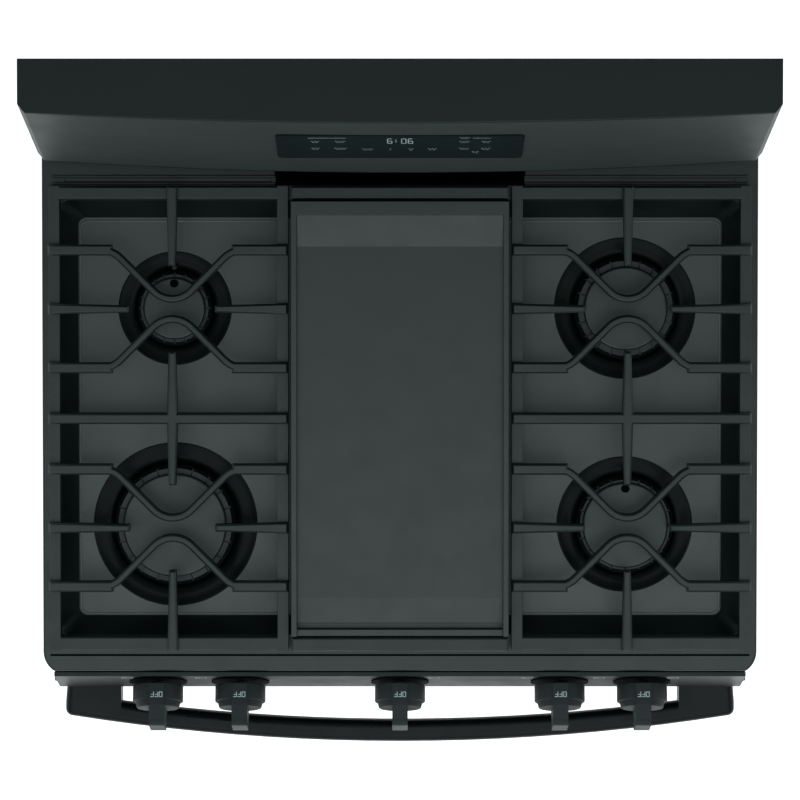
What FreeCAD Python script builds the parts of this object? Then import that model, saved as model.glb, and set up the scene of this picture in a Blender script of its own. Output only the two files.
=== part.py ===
import FreeCAD, Part
import math
import os
import re
import Sketcher

# Freestanding gas range, in millimetres.
# X runs to the right, Y to the back and Z up. The origin is on the floor, in the middle of the
# width, and half way between the back of the cabinet and the front of the door handle.

os.makedirs("parts", exist_ok=True)
doc = FreeCAD.newDocument("gas_range")
Vector = FreeCAD.Vector

# ---------------------------------------------------------------------------------------------
# Driving dimensions
# ---------------------------------------------------------------------------------------------

SIZES = {
    # cabinet
    "body_width": 759.0,
    "rear_plane": 363.0,
    "cabinet_depth": 637.0,
    "deck_height": 915.0,
    "sheet_metal": 2.0,
    "seat_gap": 0.3,
    "cabinet_bottom": 30.0,
    "lip_reach": 22.0,
    # levelling legs and base
    "base_bottom": 28.0,
    "base_height": 18.0,
    "base_rail_width": 40.0,
    "leg_radius": 16.0,
    "leg_foot_height": 8.0,
    "leg_screw_radius": 5.0,
    "leg_screw_top": 56.0,
    "leg_inset": 20.0,
    "thread_clearance": 0.05,
    # cooktop
    "deck_sheet": 3.0,
    "rim_drop": 18.0,
    "well_depth": 30.0,
    "rim_width": 18.5,
    "well_slope_width": 18.0,
    "well_corner": 9.0,
    "rear_shelf": 137.0,
    "front_shelf": 39.0,
    "deck_corner_run": 20.0,
    "deck_corner_cut": 11.0,
    "deck_edge_round": 2.5,
    "dish_depth": 1.5,
    # burners
    "burner_inset": 139.5,
    "rear_burner_inset": 251.5,
    "front_burner_inset": 154.5,
    "throat_radius": 18.0,
    "throat_bore": 12.0,
    "throat_drop": 24.0,
    "throat_clearance": 0.5,
    "head_height": 13.5,
    "head_shoulder": 4.0,
    "head_wall": 8.0,
    "head_floor": 4.0,
    "port_width": 1.6,
    "port_depth": 4.0,
    "cap_height": 6.0,
    "cap_round": 2.5,
    "cap_spigot_height": 4.0,
    "cap_spigot_clearance": 1.0,
    "oval_half_length": 92.0,
    "oval_half_width": 34.0,
    "oval_cap_inset": 6.0,
    "electrode_radius": 2.5,
    "electrode_height": 14.0,
    "electrode_spacing": 3.5,
    # gas supply
    "tube_radius": 4.0,
    "tube_bend": 14.0,
    "tube_clearance": 0.5,
    "valve_radius": 10.0,
    "valve_front_depth": 6.0,
    "valve_rear_depth": 44.0,
    "manifold_radius": 9.0,
    "manifold_half": 300.0,
    "feed_radius": 6.0,
    "feed_bend": 20.0,
    "regulator_x": -300.0,
    "regulator_bottom": 110.0,
    "regulator_height": 50.0,
    "regulator_width": 60.0,
    "regulator_depth": 50.0,
    "regulator_gap": 12.0,
    "inlet_radius": 15.0,
    "inlet_bore": 9.3,
    "inlet_bore_depth": 18.0,
    "inlet_opening": 20.0,
    "cable_hole_x": 250.0,
    "cable_hole_z": 180.0,
    "cable_hole_radius": 11.0,
    "cable_bushing_radius": 16.0,
    "cable_bushing_depth": 8.0,
    # grates and griddle
    "grate_rise": 30.0,
    "grate_side_inset": 9.0,
    "rail_width": 15.0,
    "rail_rise": 21.0,
    "side_rail_width": 11.6,
    "foot_height": 2.0,
    "foot_size": 12.0,
    "finger_width": 11.6,
    "finger_tip_width": 7.6,
    "finger_depth": 16.0,
    "finger_edge": 2.0,
    "diagonal_width": 8.0,
    "arch_offset": 62.0,
    "arch_reach": 63.0,
    "arch_bend": 28.0,
    "arch_lead": 16.0,
    "finger_clear": 45.0,
    "center_grate_half": 114.7,
    "grate_gap": 3.3,
    "griddle_rail_top": 16.0,
    "griddle_end_gap": 0.9,
    "griddle_height": 20.0,
    "griddle_rim": 6.0,
    "griddle_floor": 12.0,
    "griddle_rear_rim": 15.0,
    "griddle_rear_slope": 33.0,
    "griddle_front_slope": 27.0,
    "griddle_trough_width": 6.3,
    "griddle_front_strip": 7.4,
    "griddle_slope_drop": 5.0,
    "griddle_trough_floor": 2.5,
    # control panel and knobs
    "panel_half": 369.0,
    "panel_setback": 7.0,
    "panel_drop": 12.0,
    "panel_height": 68.0,
    "panel_lean": 15.6,
    "panel_lip": 5.0,
    "knob_drop": 31.0,
    "knob_outer_inset": 119.5,
    "knob_pitch": 88.5,
    "knob_radius": 27.0,
    "knob_step_radius": 24.3,
    "knob_standoff": 5.0,
    "knob_step_height": 18.0,
    "knob_skirt_height": 24.5,
    "knob_height": 46.0,
    "knob_blade_width": 16.5,
    "knob_blade_half": 28.5,
    "spindle_radius": 3.0,
    "spindle_depth": 34.0,
    "spindle_reach": 21.0,
    "spindle_collar_radius": 6.0,
    "spindle_fit": 0.05,
    "panel_hole_radius": 8.0,
    "bezel_radius": 31.0,
    "bezel_height": 1.5,
    # door
    "door_half": 376.0,
    "door_bottom": 236.0,
    "door_top_gap": 9.0,
    "door_stand": 43.0,
    "gasket_room": 6.0,
    "door_liner_depth": 17.0,
    "door_round": 1.5,
    "window_half": 230.0,
    "window_bottom": 420.0,
    "window_top": 640.0,
    "window_corner": 12.0,
    "pane_overlap": 8.0,
    "pane_thickness": 4.0,
    "hinge_forward": 15.0,
    "hinge_rise": 10.0,
    "hinge_x": 357.0,
    "hinge_arm_width": 10.0,
    "hinge_arm_radius": 8.0,
    "hinge_slot_gap": 2.0,
    "hinge_slot_height": 36.0,
    "hinge_pin_radius": 4.0,
    "hinge_pin_fit": 0.05,
    "hinge_cheek": 6.5,
    "hinge_cheek_height": 60.0,
    # door handle
    "handle_half": 365.0,
    "handle_drop": 26.0,
    "handle_height": 30.0,
    "handle_end_reach": 38.6,
    "handle_bow": 29.4,
    "handle_bar_depth": 23.0,
    "handle_post_inner": 304.0,
    "handle_post_outer": 363.0,
    "handle_round": 8.0,
    # storage drawer
    "drawer_front_bottom": 40.0,
    "drawer_front_top": 226.0,
    "drawer_front_depth": 20.0,
    "drawer_half": 330.0,
    "drawer_bottom": 62.0,
    "drawer_wall_top": 200.0,
    "drawer_length": 455.0,
    "drawer_sheet": 1.5,
    "rail_shelf_width": 8.0,
    "rail_shelf_thickness": 3.7,
    "rail_guide_height": 32.0,
    "rail_length": 440.0,
    # oven
    "oven_half": 295.0,
    "oven_floor_level": 300.0,
    "burner_box_height": 38.0,
    "oven_top_drop": 95.0,
    "oven_back_inset": 153.0,
    "liner_sheet": 2.0,
    "frame_sheet": 3.0,
    "frame_bottom": 228.0,
    "blanket": 38.0,
    "blanket_under": 24.0,
    "floor_ledge": 8.0,
    "floor_slot_width": 8.0,
    "floor_slot_length": 60.0,
    "floor_slot_pitch": 90.0,
    "gasket_width": 10.0,
    "gasket_margin": 6.0,
    "rack_level": 480.0,
    "rack_guide_pitch": 90.0,
    "rack_guide_depth": 12.0,
    "rack_guide_thickness": 4.0,
    "rack_wire_radius": 3.0,
    "rack_rod_radius": 2.0,
    "rack_depth": 415.0,
    "rack_side_room": 5.0,
    "bake_radius": 9.0,
    "bake_half": 150.0,
    "bake_bend": 40.0,
    "broil_radius": 8.0,
    "broil_half": 110.0,
    "broil_drop": 26.0,
    "sensor_radius": 3.0,
    "sensor_length": 62.0,
    "lamp_radius": 22.0,
    "lamp_depth": 20.0,
    # flue and vent
    "flue_half": 131.0,
    "flue_depth": 43.5,
    "flue_inset": 76.0,
    "flue_riser_inset": 8.0,
    "flue_riser_depth": 40.0,
    "flue_level": 90.0,
    "flue_clearance": 0.5,
    "trim_front_gap": 17.0,
    "trim_depth": 9.0,
    "trim_base": 2.0,
    "trim_rise": 5.0,
    "trim_rib": 2.0,
    "trim_half": 368.0,
    "trim_slot_half": 355.0,
    # backguard
    "guard_top": 1170.0,
    "guard_bottom": 960.0,
    "guard_top_depth": 54.0,
    "guard_top_bow": 9.5,
    "guard_bottom_depth": 96.0,
    "guard_bottom_bow": 13.0,
    "guard_corner_cut": 7.5,
    "guard_corner_run": 9.0,
    "guard_sheet": 3.0,
    "guard_neck_depth": 66.0,
    "guard_neck_inset": 7.5,
    "glass_half": 125.0,
    "glass_bottom": 1029.0,
    "glass_height": 93.0,
    "glass_thickness": 4.0,
    "glass_proud": 1.0,
    "glass_corner": 6.0,
    "glass_fit": 0.5,
    "glass_hole_depth": 60.0,
    "board_half": 150.0,
    "board_height": 70.0,
    "board_thickness": 2.0,
    "board_depth": 18.0,
    "board_post_radius": 4.0,
}

# Places that several pieces share, worked out from the driving dimensions.
PLACES = {
    "half_width": "body_width / 2",
    "front_lip": "rear_plane - cabinet_depth",
    "cabinet_front": "front_lip + lip_reach",
    "back_inner": "rear_plane - sheet_metal",
    "side_inner": "half_width - sheet_metal",
    "skirt_bottom": "deck_height - rim_drop",
    "well_floor": "deck_height - well_depth",
    "dish_floor": "well_floor - dish_depth",
    "well_half": "half_width - rim_width",
    "well_rear": "rear_plane - rear_shelf",
    "well_front": "front_lip + front_shelf",
    "burner_x": "half_width - burner_inset",
    "rear_burner_y": "rear_plane - rear_burner_inset",
    "front_burner_y": "front_lip + front_burner_inset",
    "middle_y": "(rear_burner_y + front_burner_y) / 2",
    "head_top": "dish_floor + head_height",
    "throat_bottom": "dish_floor - throat_drop",
    "grate_rear": "well_rear + rail_width",
    "grate_front": "well_front - rail_width",
    "grate_outer": "half_width - grate_side_inset",
    "grate_inner": "center_grate_half + grate_gap",
    "grate_top": "deck_height + grate_rise",
    "rail_bottom": "deck_height + foot_height",
    "rail_top": "deck_height + rail_rise",
    "griddle_seat": "deck_height + griddle_rail_top",
    "griddle_rear": "well_rear - griddle_end_gap",
    "griddle_front": "well_front + griddle_end_gap",
    "panel_top_y": "front_lip - panel_setback",
    "panel_top_z": "deck_height - panel_drop",
    "panel_bottom_z": "panel_top_z - panel_height",
    "panel_bottom_y": "panel_top_y - panel_height * tan(panel_lean)",
    "tube_level": "panel_bottom_z + sheet_metal + tube_clearance + tube_radius",
    "knob_y": "panel_top_y - knob_drop * tan(panel_lean)",
    "knob_z": "panel_top_z - knob_drop",
    "knob_outer_x": "half_width - knob_outer_inset",
    "knob_inner_x": "knob_outer_x - knob_pitch",
    "valve_end_y": "knob_y + valve_rear_depth * cos(panel_lean)",
    "valve_end_z": "knob_z - valve_rear_depth * sin(panel_lean)",
    "manifold_y": "valve_end_y + manifold_radius / cos(panel_lean)",
    "door_top": "panel_bottom_z - door_top_gap",
    "door_face": "cabinet_front - door_stand",
    "door_back": "cabinet_front - gasket_room",
    "door_split": "door_back - door_liner_depth",
    "hinge_y": "door_face + hinge_forward",
    "hinge_z": "door_bottom + hinge_rise",
    "handle_z": "door_top - handle_drop",
    "handle_end_y": "door_face - handle_end_reach",
    "frame_back": "cabinet_front + frame_sheet",
    "oven_top": "panel_bottom_z - oven_top_drop",
    "oven_back": "rear_plane - oven_back_inset",
    "burner_box_bottom": "oven_floor_level - burner_box_height",
    "flue_rear": "rear_plane - flue_inset",
    "flue_front": "flue_rear - flue_depth",
    "flue_riser_rear": "oven_back - flue_riser_inset",
    "flue_riser_front": "flue_riser_rear - flue_riser_depth",
    "flue_top": "deck_height - deck_sheet",
    "trim_front": "well_rear + trim_front_gap",
    "guard_slope_run": "guard_bottom_depth + guard_bottom_bow - guard_top_depth - guard_top_bow",
    "guard_slope": "atan(guard_slope_run / (guard_top - guard_bottom)) / 1 deg",
    "glass_y": "rear_plane - guard_bottom_depth - guard_bottom_bow"
               " + (glass_bottom - guard_bottom) * tan(guard_slope)",
}


def bound(text, own=()):
    """An expression with every size and place name led by the name of its sheet."""
    def lead(match):
        word = match.group(0)
        if word in own:
            return word
        if word in SIZES:
            return "Sizes." + word
        if word in PLACES:
            return "Places." + word
        return word
    return re.sub(r"[a-z][a-z_]*", lead, text)


def fill(name, rows):
    """A spreadsheet with a name and an aliased cell for every row."""
    sheet = doc.addObject("Spreadsheet::Sheet", name)
    for row, (alias, content) in enumerate(rows.items(), start=1):
        sheet.set("A%d" % row, alias)
        sheet.set("B%d" % row, str(content))
        sheet.setAlias("B%d" % row, alias)
    return sheet


sizes = fill("Sizes", SIZES)
doc.recompute()
places = fill("Places", {alias: "=" + bound(text, PLACES) for alias, text in PLACES.items()})
probe = doc.addObject("Spreadsheet::Sheet", "Probe")
doc.recompute()


def number(text):
    """The value of an expression, worked out in a cell of the probe sheet."""
    probe.set("A1", "=" + bound(str(text)) + " + 0")
    probe.recompute()
    return float(probe.get("A1"))


# ---------------------------------------------------------------------------------------------
# Primitives and booleans
# ---------------------------------------------------------------------------------------------

NODES = []
ALONG = {
    "x": FreeCAD.Rotation(Vector(0, 1, 0), 90),
    "y": FreeCAD.Rotation(Vector(1, 0, 0), -90),
    "z": FreeCAD.Rotation(),
}


def node(item, name):
    """Keep an object as a piece of the range, under its own name."""
    item.Label = name
    NODES.append(item)
    return item


def bind(item, path, text):
    item.setExpression(path, bound(text))


def place(item, x, y, z):
    for axis, text in zip("xyz", (x, y, z)):
        bind(item, "Placement.Base." + axis, text)
    return item


def box(name, x, y, z):
    """A box whose three pairs of expressions are its lowest and highest coordinates."""
    item = doc.addObject("Part::Box", name)
    for path, (low, high) in zip(("Length", "Width", "Height"), (x, y, z)):
        bind(item, path, "(%s) - (%s)" % (high, low))
    return place(item, x[0], y[0], z[0])


def rod(name, radius, along, length, x, y, z):
    """A cylinder that starts at a point and runs along one axis."""
    item = doc.addObject("Part::Cylinder", name)
    item.Placement = FreeCAD.Placement(Vector(), ALONG[along])
    bind(item, "Radius", radius)
    bind(item, "Height", length)
    return place(item, x, y, z)


def lean(item, x, y, z, angle):
    """Turn an object so that its Z axis points to the front and up by an angle."""
    item.Placement = FreeCAD.Placement(Vector(), FreeCAD.Rotation(Vector(1, 0, 0), 45))
    bind(item, "Placement.Rotation.Angle", "90 - " + angle)
    return place(item, x, y, z)


def knob_rod(name, radius, x, start, end):
    """A cylinder on a knob's axis, between two distances in front of the control panel."""
    item = doc.addObject("Part::Cylinder", name)
    bind(item, "Radius", radius)
    bind(item, "Height", "(%s) - (%s)" % (end, start))
    y = "knob_y - (%s) * cos(panel_lean)" % start
    z = "knob_z + (%s) * sin(panel_lean)" % start
    return lean(item, x, y, z, "panel_lean")


def fuse(name, parts):
    item = doc.addObject("Part::MultiFuse", name)
    item.Shapes = parts
    item.Refine = True
    return item


def cut(name, base, tools):
    item = doc.addObject("Part::Cut", name)
    item.Base = base
    item.Tool = tools[0] if len(tools) == 1 else fuse(name + "_tools", tools)
    item.Refine = True
    return item


def group(name, parts):
    """Separate solids of the same kind that share one node."""
    item = doc.addObject("Part::Compound", name)
    item.Links = parts
    return item


def span(low, high, side):
    """A pair of X expressions, on the right for side 1 and mirrored to the left for side -1."""
    if side > 0:
        return (low, high)
    return ("-(%s)" % high, "-(%s)" % low)


SIDES = (("left", -1), ("right", 1))

# ---------------------------------------------------------------------------------------------
# Sketched bodies
# ---------------------------------------------------------------------------------------------


def body(name):
    return doc.addObject("PartDesign::Body", name)


def sketch_on(owner, name, role, level=None):
    """An empty sketch on one of a body's own origin planes, lifted off it by an expression."""
    sketch = owner.newObject("Sketcher::SketchObject", name)
    for feature in owner.Origin.OriginFeatures:
        if feature.Role == role:
            sketch.AttachmentSupport = [(feature, "")]
    sketch.MapMode = "FlatFace"
    if level is not None:
        bind(sketch, "AttachmentOffset.Base.z", level)
    return sketch


def hold(sketch, kind, geometry, point, text):
    """A distance or radius of a sketch, tied to an expression."""
    start = number(text)
    if point is None:
        index = sketch.addConstraint(Sketcher.Constraint(kind, geometry, start))
    else:
        index = sketch.addConstraint(Sketcher.Constraint(kind, geometry, point, start))
    bind(sketch, "Constraints[%d]" % index, text)


def end_at(sketch, geometry, point):
    """Which end of a sketched edge lies on a point: 1 for its start, 2 for its end."""
    return 1 if sketch.getPoint(geometry, 1).distanceToPoint(point) < 1e-6 else 2


def outline(owner, name, role, corners, level=None):
    """A closed outline. A corner is (across, up), or (across, up, bulge) where the edge to the
    next corner is an arc that stands out by bulge to the right of its direction."""
    sketch = sketch_on(owner, name, role, level)
    points = [Vector(number(corner[0]), number(corner[1]), 0) for corner in corners]
    count = len(corners)
    for index, corner in enumerate(corners):
        start = points[index]
        end = points[(index + 1) % count]
        if len(corner) < 3:
            sketch.addGeometry(Part.LineSegment(start, end), False)
            continue
        run = end - start
        aside = Vector(run.y, -run.x, 0).normalize() * number(corner[2])
        sketch.addGeometry(Part.Arc(start, (start + end) * 0.5 + aside, end), False)
    for index in range(count):
        following = (index + 1) % count
        end = end_at(sketch, index, points[following])
        start = end_at(sketch, following, points[following])
        sketch.addConstraint(Sketcher.Constraint("Coincident", index, end, following, start))
        hold(sketch, "DistanceX", following, start, corners[following][0])
        hold(sketch, "DistanceY", following, start, corners[following][1])
    for index, corner in enumerate(corners):
        if len(corner) == 3:
            after = corners[(index + 1) % count]
            chord = "(((%s) - (%s))^2 + ((%s) - (%s))^2)" % (after[0], corner[0], after[1], corner[1])
            bulge = "abs(%s)" % corner[2]
            hold(sketch, "Radius", index, None, "(%s / 4 + %s^2) / (2 * %s)" % (chord, bulge, bulge))
    return sketch


def rounded(owner, name, role, across, up, radius, level=None):
    """A rectangle with rounded corners, between two pairs of expressions."""
    (left, right), (low, high) = across, up
    bulge = "(%s) * (1 - sqrt(0.5))" % radius
    inner = ["(%s) + (%s)" % (left, radius), "(%s) - (%s)" % (right, radius)]
    level_ends = ["(%s) + (%s)" % (low, radius), "(%s) - (%s)" % (high, radius)]
    corners = [
        (inner[0], low), (inner[1], low, bulge),
        (right, level_ends[0]), (right, level_ends[1], bulge),
        (inner[1], high), (inner[0], high, bulge),
        (left, level_ends[1]), (left, level_ends[0], bulge),
    ]
    return outline(owner, name, role, corners, level)


def circles(owner, name, role, places_list, level=None):
    """Circles given as (across, up, radius)."""
    sketch = sketch_on(owner, name, role, level)
    for index, (across, up, radius) in enumerate(places_list):
        centre = Vector(number(across), number(up), 0)
        sketch.addGeometry(Part.Circle(centre, Vector(0, 0, 1), number(radius)), False)
        hold(sketch, "DistanceX", index, 3, across)
        hold(sketch, "DistanceY", index, 3, up)
        hold(sketch, "Radius", index, None, radius)
    return sketch


def pad(owner, sketch, length, symmetric=False):
    feature = owner.newObject("PartDesign::Pad", sketch.Name + "_pad")
    feature.Profile = sketch
    bind(feature, "Length", length)
    feature.SideType = "Symmetric" if symmetric else "One side"
    return feature


def pocket(owner, sketch, length, symmetric=False, upward=False):
    """A pocket, which goes against the sketch's normal unless it is turned upward."""
    doc.recompute()
    before = owner.Shape.Volume
    feature = owner.newObject("PartDesign::Pocket", sketch.Name + "_pocket")
    feature.Profile = sketch
    bind(feature, "Length", length)
    feature.SideType = "Symmetric" if symmetric else "One side"
    feature.Reversed = upward
    doc.recompute()
    if owner.Shape.Volume >= before - 1e-3:
        raise RuntimeError(feature.Name + " removes nothing")
    return feature


def loft(owner, name, sections, subtract=False):
    kind = "PartDesign::SubtractiveLoft" if subtract else "PartDesign::AdditiveLoft"
    feature = owner.newObject(kind, name)
    feature.Profile = sections[0]
    feature.Sections = sections[1:]
    return feature


def revolve(owner, sketch):
    feature = owner.newObject("PartDesign::Revolution", sketch.Name + "_turned")
    feature.Profile = sketch
    feature.ReferenceAxis = (sketch, ["V_Axis"])
    feature.Angle = 360
    return feature


def soften(owner, radius, chosen, name="soft_edges"):
    """A fillet on the edges of a body that a test chooses."""
    doc.recompute()
    base = owner.Tip
    names = ["Edge%d" % (i + 1) for i, edge in enumerate(base.Shape.Edges) if chosen(edge)]
    feature = owner.newObject("PartDesign::Fillet", owner.Name + "_" + name)
    feature.Base = (base, names)
    bind(feature, "Radius", radius)
    return feature


def lies_at(edge, axis, value):
    """Whether an edge lies in the plane where one coordinate has a value."""
    bounds = edge.BoundBox
    low = getattr(bounds, axis + "Min")
    high = getattr(bounds, axis + "Max")
    return abs(low - value) < 0.01 and abs(high - value) < 0.01


# ---------------------------------------------------------------------------------------------
# Solids from curves: bent tubes and cast bars
# ---------------------------------------------------------------------------------------------


def bent_path(points, bend):
    """Straight runs between points, joined by tangent arcs of one radius."""
    edges = []
    last = points[0]
    for before, corner, after in zip(points, points[1:], points[2:]):
        inward = (before - corner).normalize()
        outward = (after - corner).normalize()
        turn = math.pi - inward.getAngle(outward)
        reach = bend * math.tan(turn / 2)
        start = corner + inward * reach
        end = corner + outward * reach
        middle = corner + (inward + outward).normalize() * (bend / math.cos(turn / 2) - bend)
        edges.append(Part.LineSegment(last, start).toShape())
        edges.append(Part.Arc(start, middle, end).toShape())
        last = end
    edges.append(Part.LineSegment(last, points[-1]).toShape())
    return Part.Wire(edges)


def bent_tube(points, radius, bend):
    """A round bar along a bent path."""
    path = bent_path(points, bend)
    along = (points[1] - points[0]).normalize()
    ring = Part.Wire([Part.makeCircle(radius, points[0], along)])
    return path.makePipeShell([ring], True, False)


def bar_side(points, bend, offset):
    """One side of a bar, as edges: its centre line moved aside, with an arc at each bend."""
    edges = []
    steps = [(b - a).normalize() for a, b in zip(points, points[1:])]
    last = points[0] + Vector(-steps[0].y, steps[0].x, 0) * offset
    for index in range(1, len(points) - 1):
        before, after = steps[index - 1], steps[index]
        turn = before.x * after.y - before.y * after.x
        way = 1 if turn > 0 else -1
        angle = before.getAngle(after)
        reach = bend * math.tan(angle / 2)
        start = points[index] - before * reach
        center = start + Vector(-before.y, before.x, 0) * (way * bend)
        radius = bend - way * offset
        first = center - Vector(-before.y, before.x, 0) * (way * radius)
        final = center - Vector(-after.y, after.x, 0) * (way * radius)
        toward = (points[index] - center).normalize()
        edges.append(Part.LineSegment(last, first).toShape())
        edges.append(Part.Arc(first, center + toward * radius, final).toShape())
        last = final
    end = points[-1] + Vector(-steps[-1].y, steps[-1].x, 0) * offset
    edges.append(Part.LineSegment(last, end).toShape())
    return edges, points[0] + Vector(-steps[0].y, steps[0].x, 0) * offset, end


def bar_outline(points, widths, bend, level):
    """The outline of a flat bar. It has a width at each end, or one width and rounded bends."""
    flat = [Vector(point.x, point.y, level) for point in points]
    if len(flat) == 2:
        step = (flat[1] - flat[0]).normalize()
        aside = Vector(-step.y, step.x, 0)
        corners = [flat[0] + aside * widths[0] / 2, flat[1] + aside * widths[1] / 2,
                   flat[1] - aside * widths[1] / 2, flat[0] - aside * widths[0] / 2]
        return Part.makePolygon(corners + corners[:1])
    left, left_start, left_end = bar_side(flat, bend, widths[0] / 2)
    right, right_start, right_end = bar_side(flat, bend, -widths[0] / 2)
    caps = [
        Part.LineSegment(left_end, right_end).toShape(),
        Part.LineSegment(right_start, left_start).toShape(),
    ]
    return Part.Wire(Part.__sortEdges__(left + right + caps))


def cast_bar(points, widths, bottom, top, edge, bend=0.0):
    """A cast bar whose upper edges and ends are bevelled."""
    flat = [Vector(x, y, 0) for x, y in points]
    first = (flat[1] - flat[0]).normalize() * edge
    final = (flat[-1] - flat[-2]).normalize() * edge
    short = [flat[0] + first] + flat[1:-1] + [flat[-1] - final]
    shoulder = top - edge
    narrow = [width - 2 * edge for width in widths]
    lower = Part.Face(bar_outline(flat, widths, bend, bottom)).extrude(Vector(0, 0, shoulder - bottom))
    sections = [bar_outline(flat, widths, bend, shoulder), bar_outline(short, narrow, bend, top)]
    return lower.fuse(Part.makeLoft(sections, True, True))


def cast_block(x, y, z, edge):
    """A rectangular cast rail whose upper edges are bevelled."""
    middle = (y[0] + y[1]) / 2
    return cast_bar([(x[0], middle), (x[1], middle)], (y[1] - y[0], y[1] - y[0]), z[0], z[1], edge)


def solid_node(name, shape):
    """A piece whose shape is made from curves."""
    item = doc.addObject("Part::Feature", name)
    item.Shape = shape
    item.Placement = FreeCAD.Placement()
    return node(item, name)


# ---------------------------------------------------------------------------------------------
# Cabinet
# ---------------------------------------------------------------------------------------------


LEG_PLACES = {
    "front_left": ("-(side_inner - leg_inset)", "cabinet_front + leg_inset + leg_radius"),
    "front_right": ("side_inner - leg_inset", "cabinet_front + leg_inset + leg_radius"),
    "rear_left": ("-(side_inner - leg_inset)", "back_inner - leg_inset"),
    "rear_right": ("side_inner - leg_inset", "back_inner - leg_inset"),
}


def make_base_frame():
    x = ("-side_inner", "side_inner")
    y = ("cabinet_front", "back_inner")
    z = ("base_bottom", "base_bottom + base_height")
    ring = box("base_ring", x, y, z)
    middle = box("base_middle",
                 ("-side_inner + base_rail_width", "side_inner - base_rail_width"),
                 ("cabinet_front + base_rail_width", "back_inner - base_rail_width"),
                 ("base_bottom - 1", "base_bottom + base_height + 1"))
    holes = []
    for corner, (leg_x, leg_y) in LEG_PLACES.items():
        holes.append(rod("leg_hole_" + corner, "leg_screw_radius + thread_clearance", "z",
                         "base_height + 2", leg_x, leg_y, "base_bottom - 1"))
    node(cut("base_frame", ring, [middle] + holes), "base_frame")


def make_legs():
    for corner, (x, y) in LEG_PLACES.items():
        leg = body("leveling_leg_" + corner)
        foot = circles(leg, "foot_" + corner, "XY_Plane", [("0", "0", "leg_radius")])
        pad(leg, foot, "leg_foot_height")
        screw = circles(leg, "screw_" + corner, "XY_Plane", [("0", "0", "leg_screw_radius")])
        pad(leg, screw, "leg_screw_top")
        place(leg, x, y, "0")
        node(leg, "leveling_leg_" + corner)


def make_side_panels():
    for side, sign in SIDES:
        x = span("side_inner", "half_width", sign)
        y = ("cabinet_front", "back_inner")
        z = ("cabinet_bottom", "skirt_bottom")
        node(box("side_panel_" + side, x, y, z), "side_panel_" + side)


def make_back_panel():
    sheet = box("back_sheet", ("-half_width", "half_width"), ("back_inner", "rear_plane"),
                ("cabinet_bottom", "guard_top - guard_sheet"))
    bushing = rod("cable_bushing", "cable_bushing_radius", "y", "cable_bushing_depth", "cable_hole_x",
                  "rear_plane - cable_bushing_depth", "cable_hole_z")
    cable_hole = rod("cable_hole", "cable_hole_radius", "y", "cable_bushing_depth + 2", "cable_hole_x",
                     "rear_plane - cable_bushing_depth - 1", "cable_hole_z")
    inlet_hole = rod("inlet_opening", "inlet_opening", "y", "4 * sheet_metal", "regulator_x",
                     "back_inner - sheet_metal", "regulator_bottom + regulator_height / 2")
    blank = fuse("back_blank", [sheet, bushing])
    node(cut("back_panel", blank, [cable_hole, inlet_hole]), "back_panel")


def make_front_frame():
    y = ("cabinet_front", "frame_back")
    sheet = box("frame_sheet_blank", ("-side_inner", "side_inner"), y, ("frame_bottom", "panel_bottom_z"))
    arms = []
    holes = []
    for side, sign in SIDES:
        x = span("hinge_x - hinge_arm_width / 2", "hinge_x + hinge_arm_width / 2", sign)
        arms.append(box("hinge_arm_" + side, x, ("hinge_y", "cabinet_front"),
                        ("hinge_z - hinge_arm_radius", "hinge_z + hinge_arm_radius")))
        arms.append(rod("hinge_eye_" + side, "hinge_arm_radius", "x", "hinge_arm_width",
                        x[0], "hinge_y", "hinge_z"))
        holes.append(rod("hinge_hole_" + side, "hinge_pin_radius + hinge_pin_fit", "x",
                         "hinge_arm_width + 2", "(%s) - 1" % x[0], "hinge_y", "hinge_z"))
    mouth = box("frame_mouth", ("-oven_half", "oven_half"), ("cabinet_front - 1", "frame_back + 1"),
                ("oven_floor_level - frame_sheet", "oven_top"))
    node(cut("front_frame", fuse("frame_blank", [sheet] + arms), [mouth] + holes), "front_frame")


# ---------------------------------------------------------------------------------------------
# Oven
# ---------------------------------------------------------------------------------------------


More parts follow.
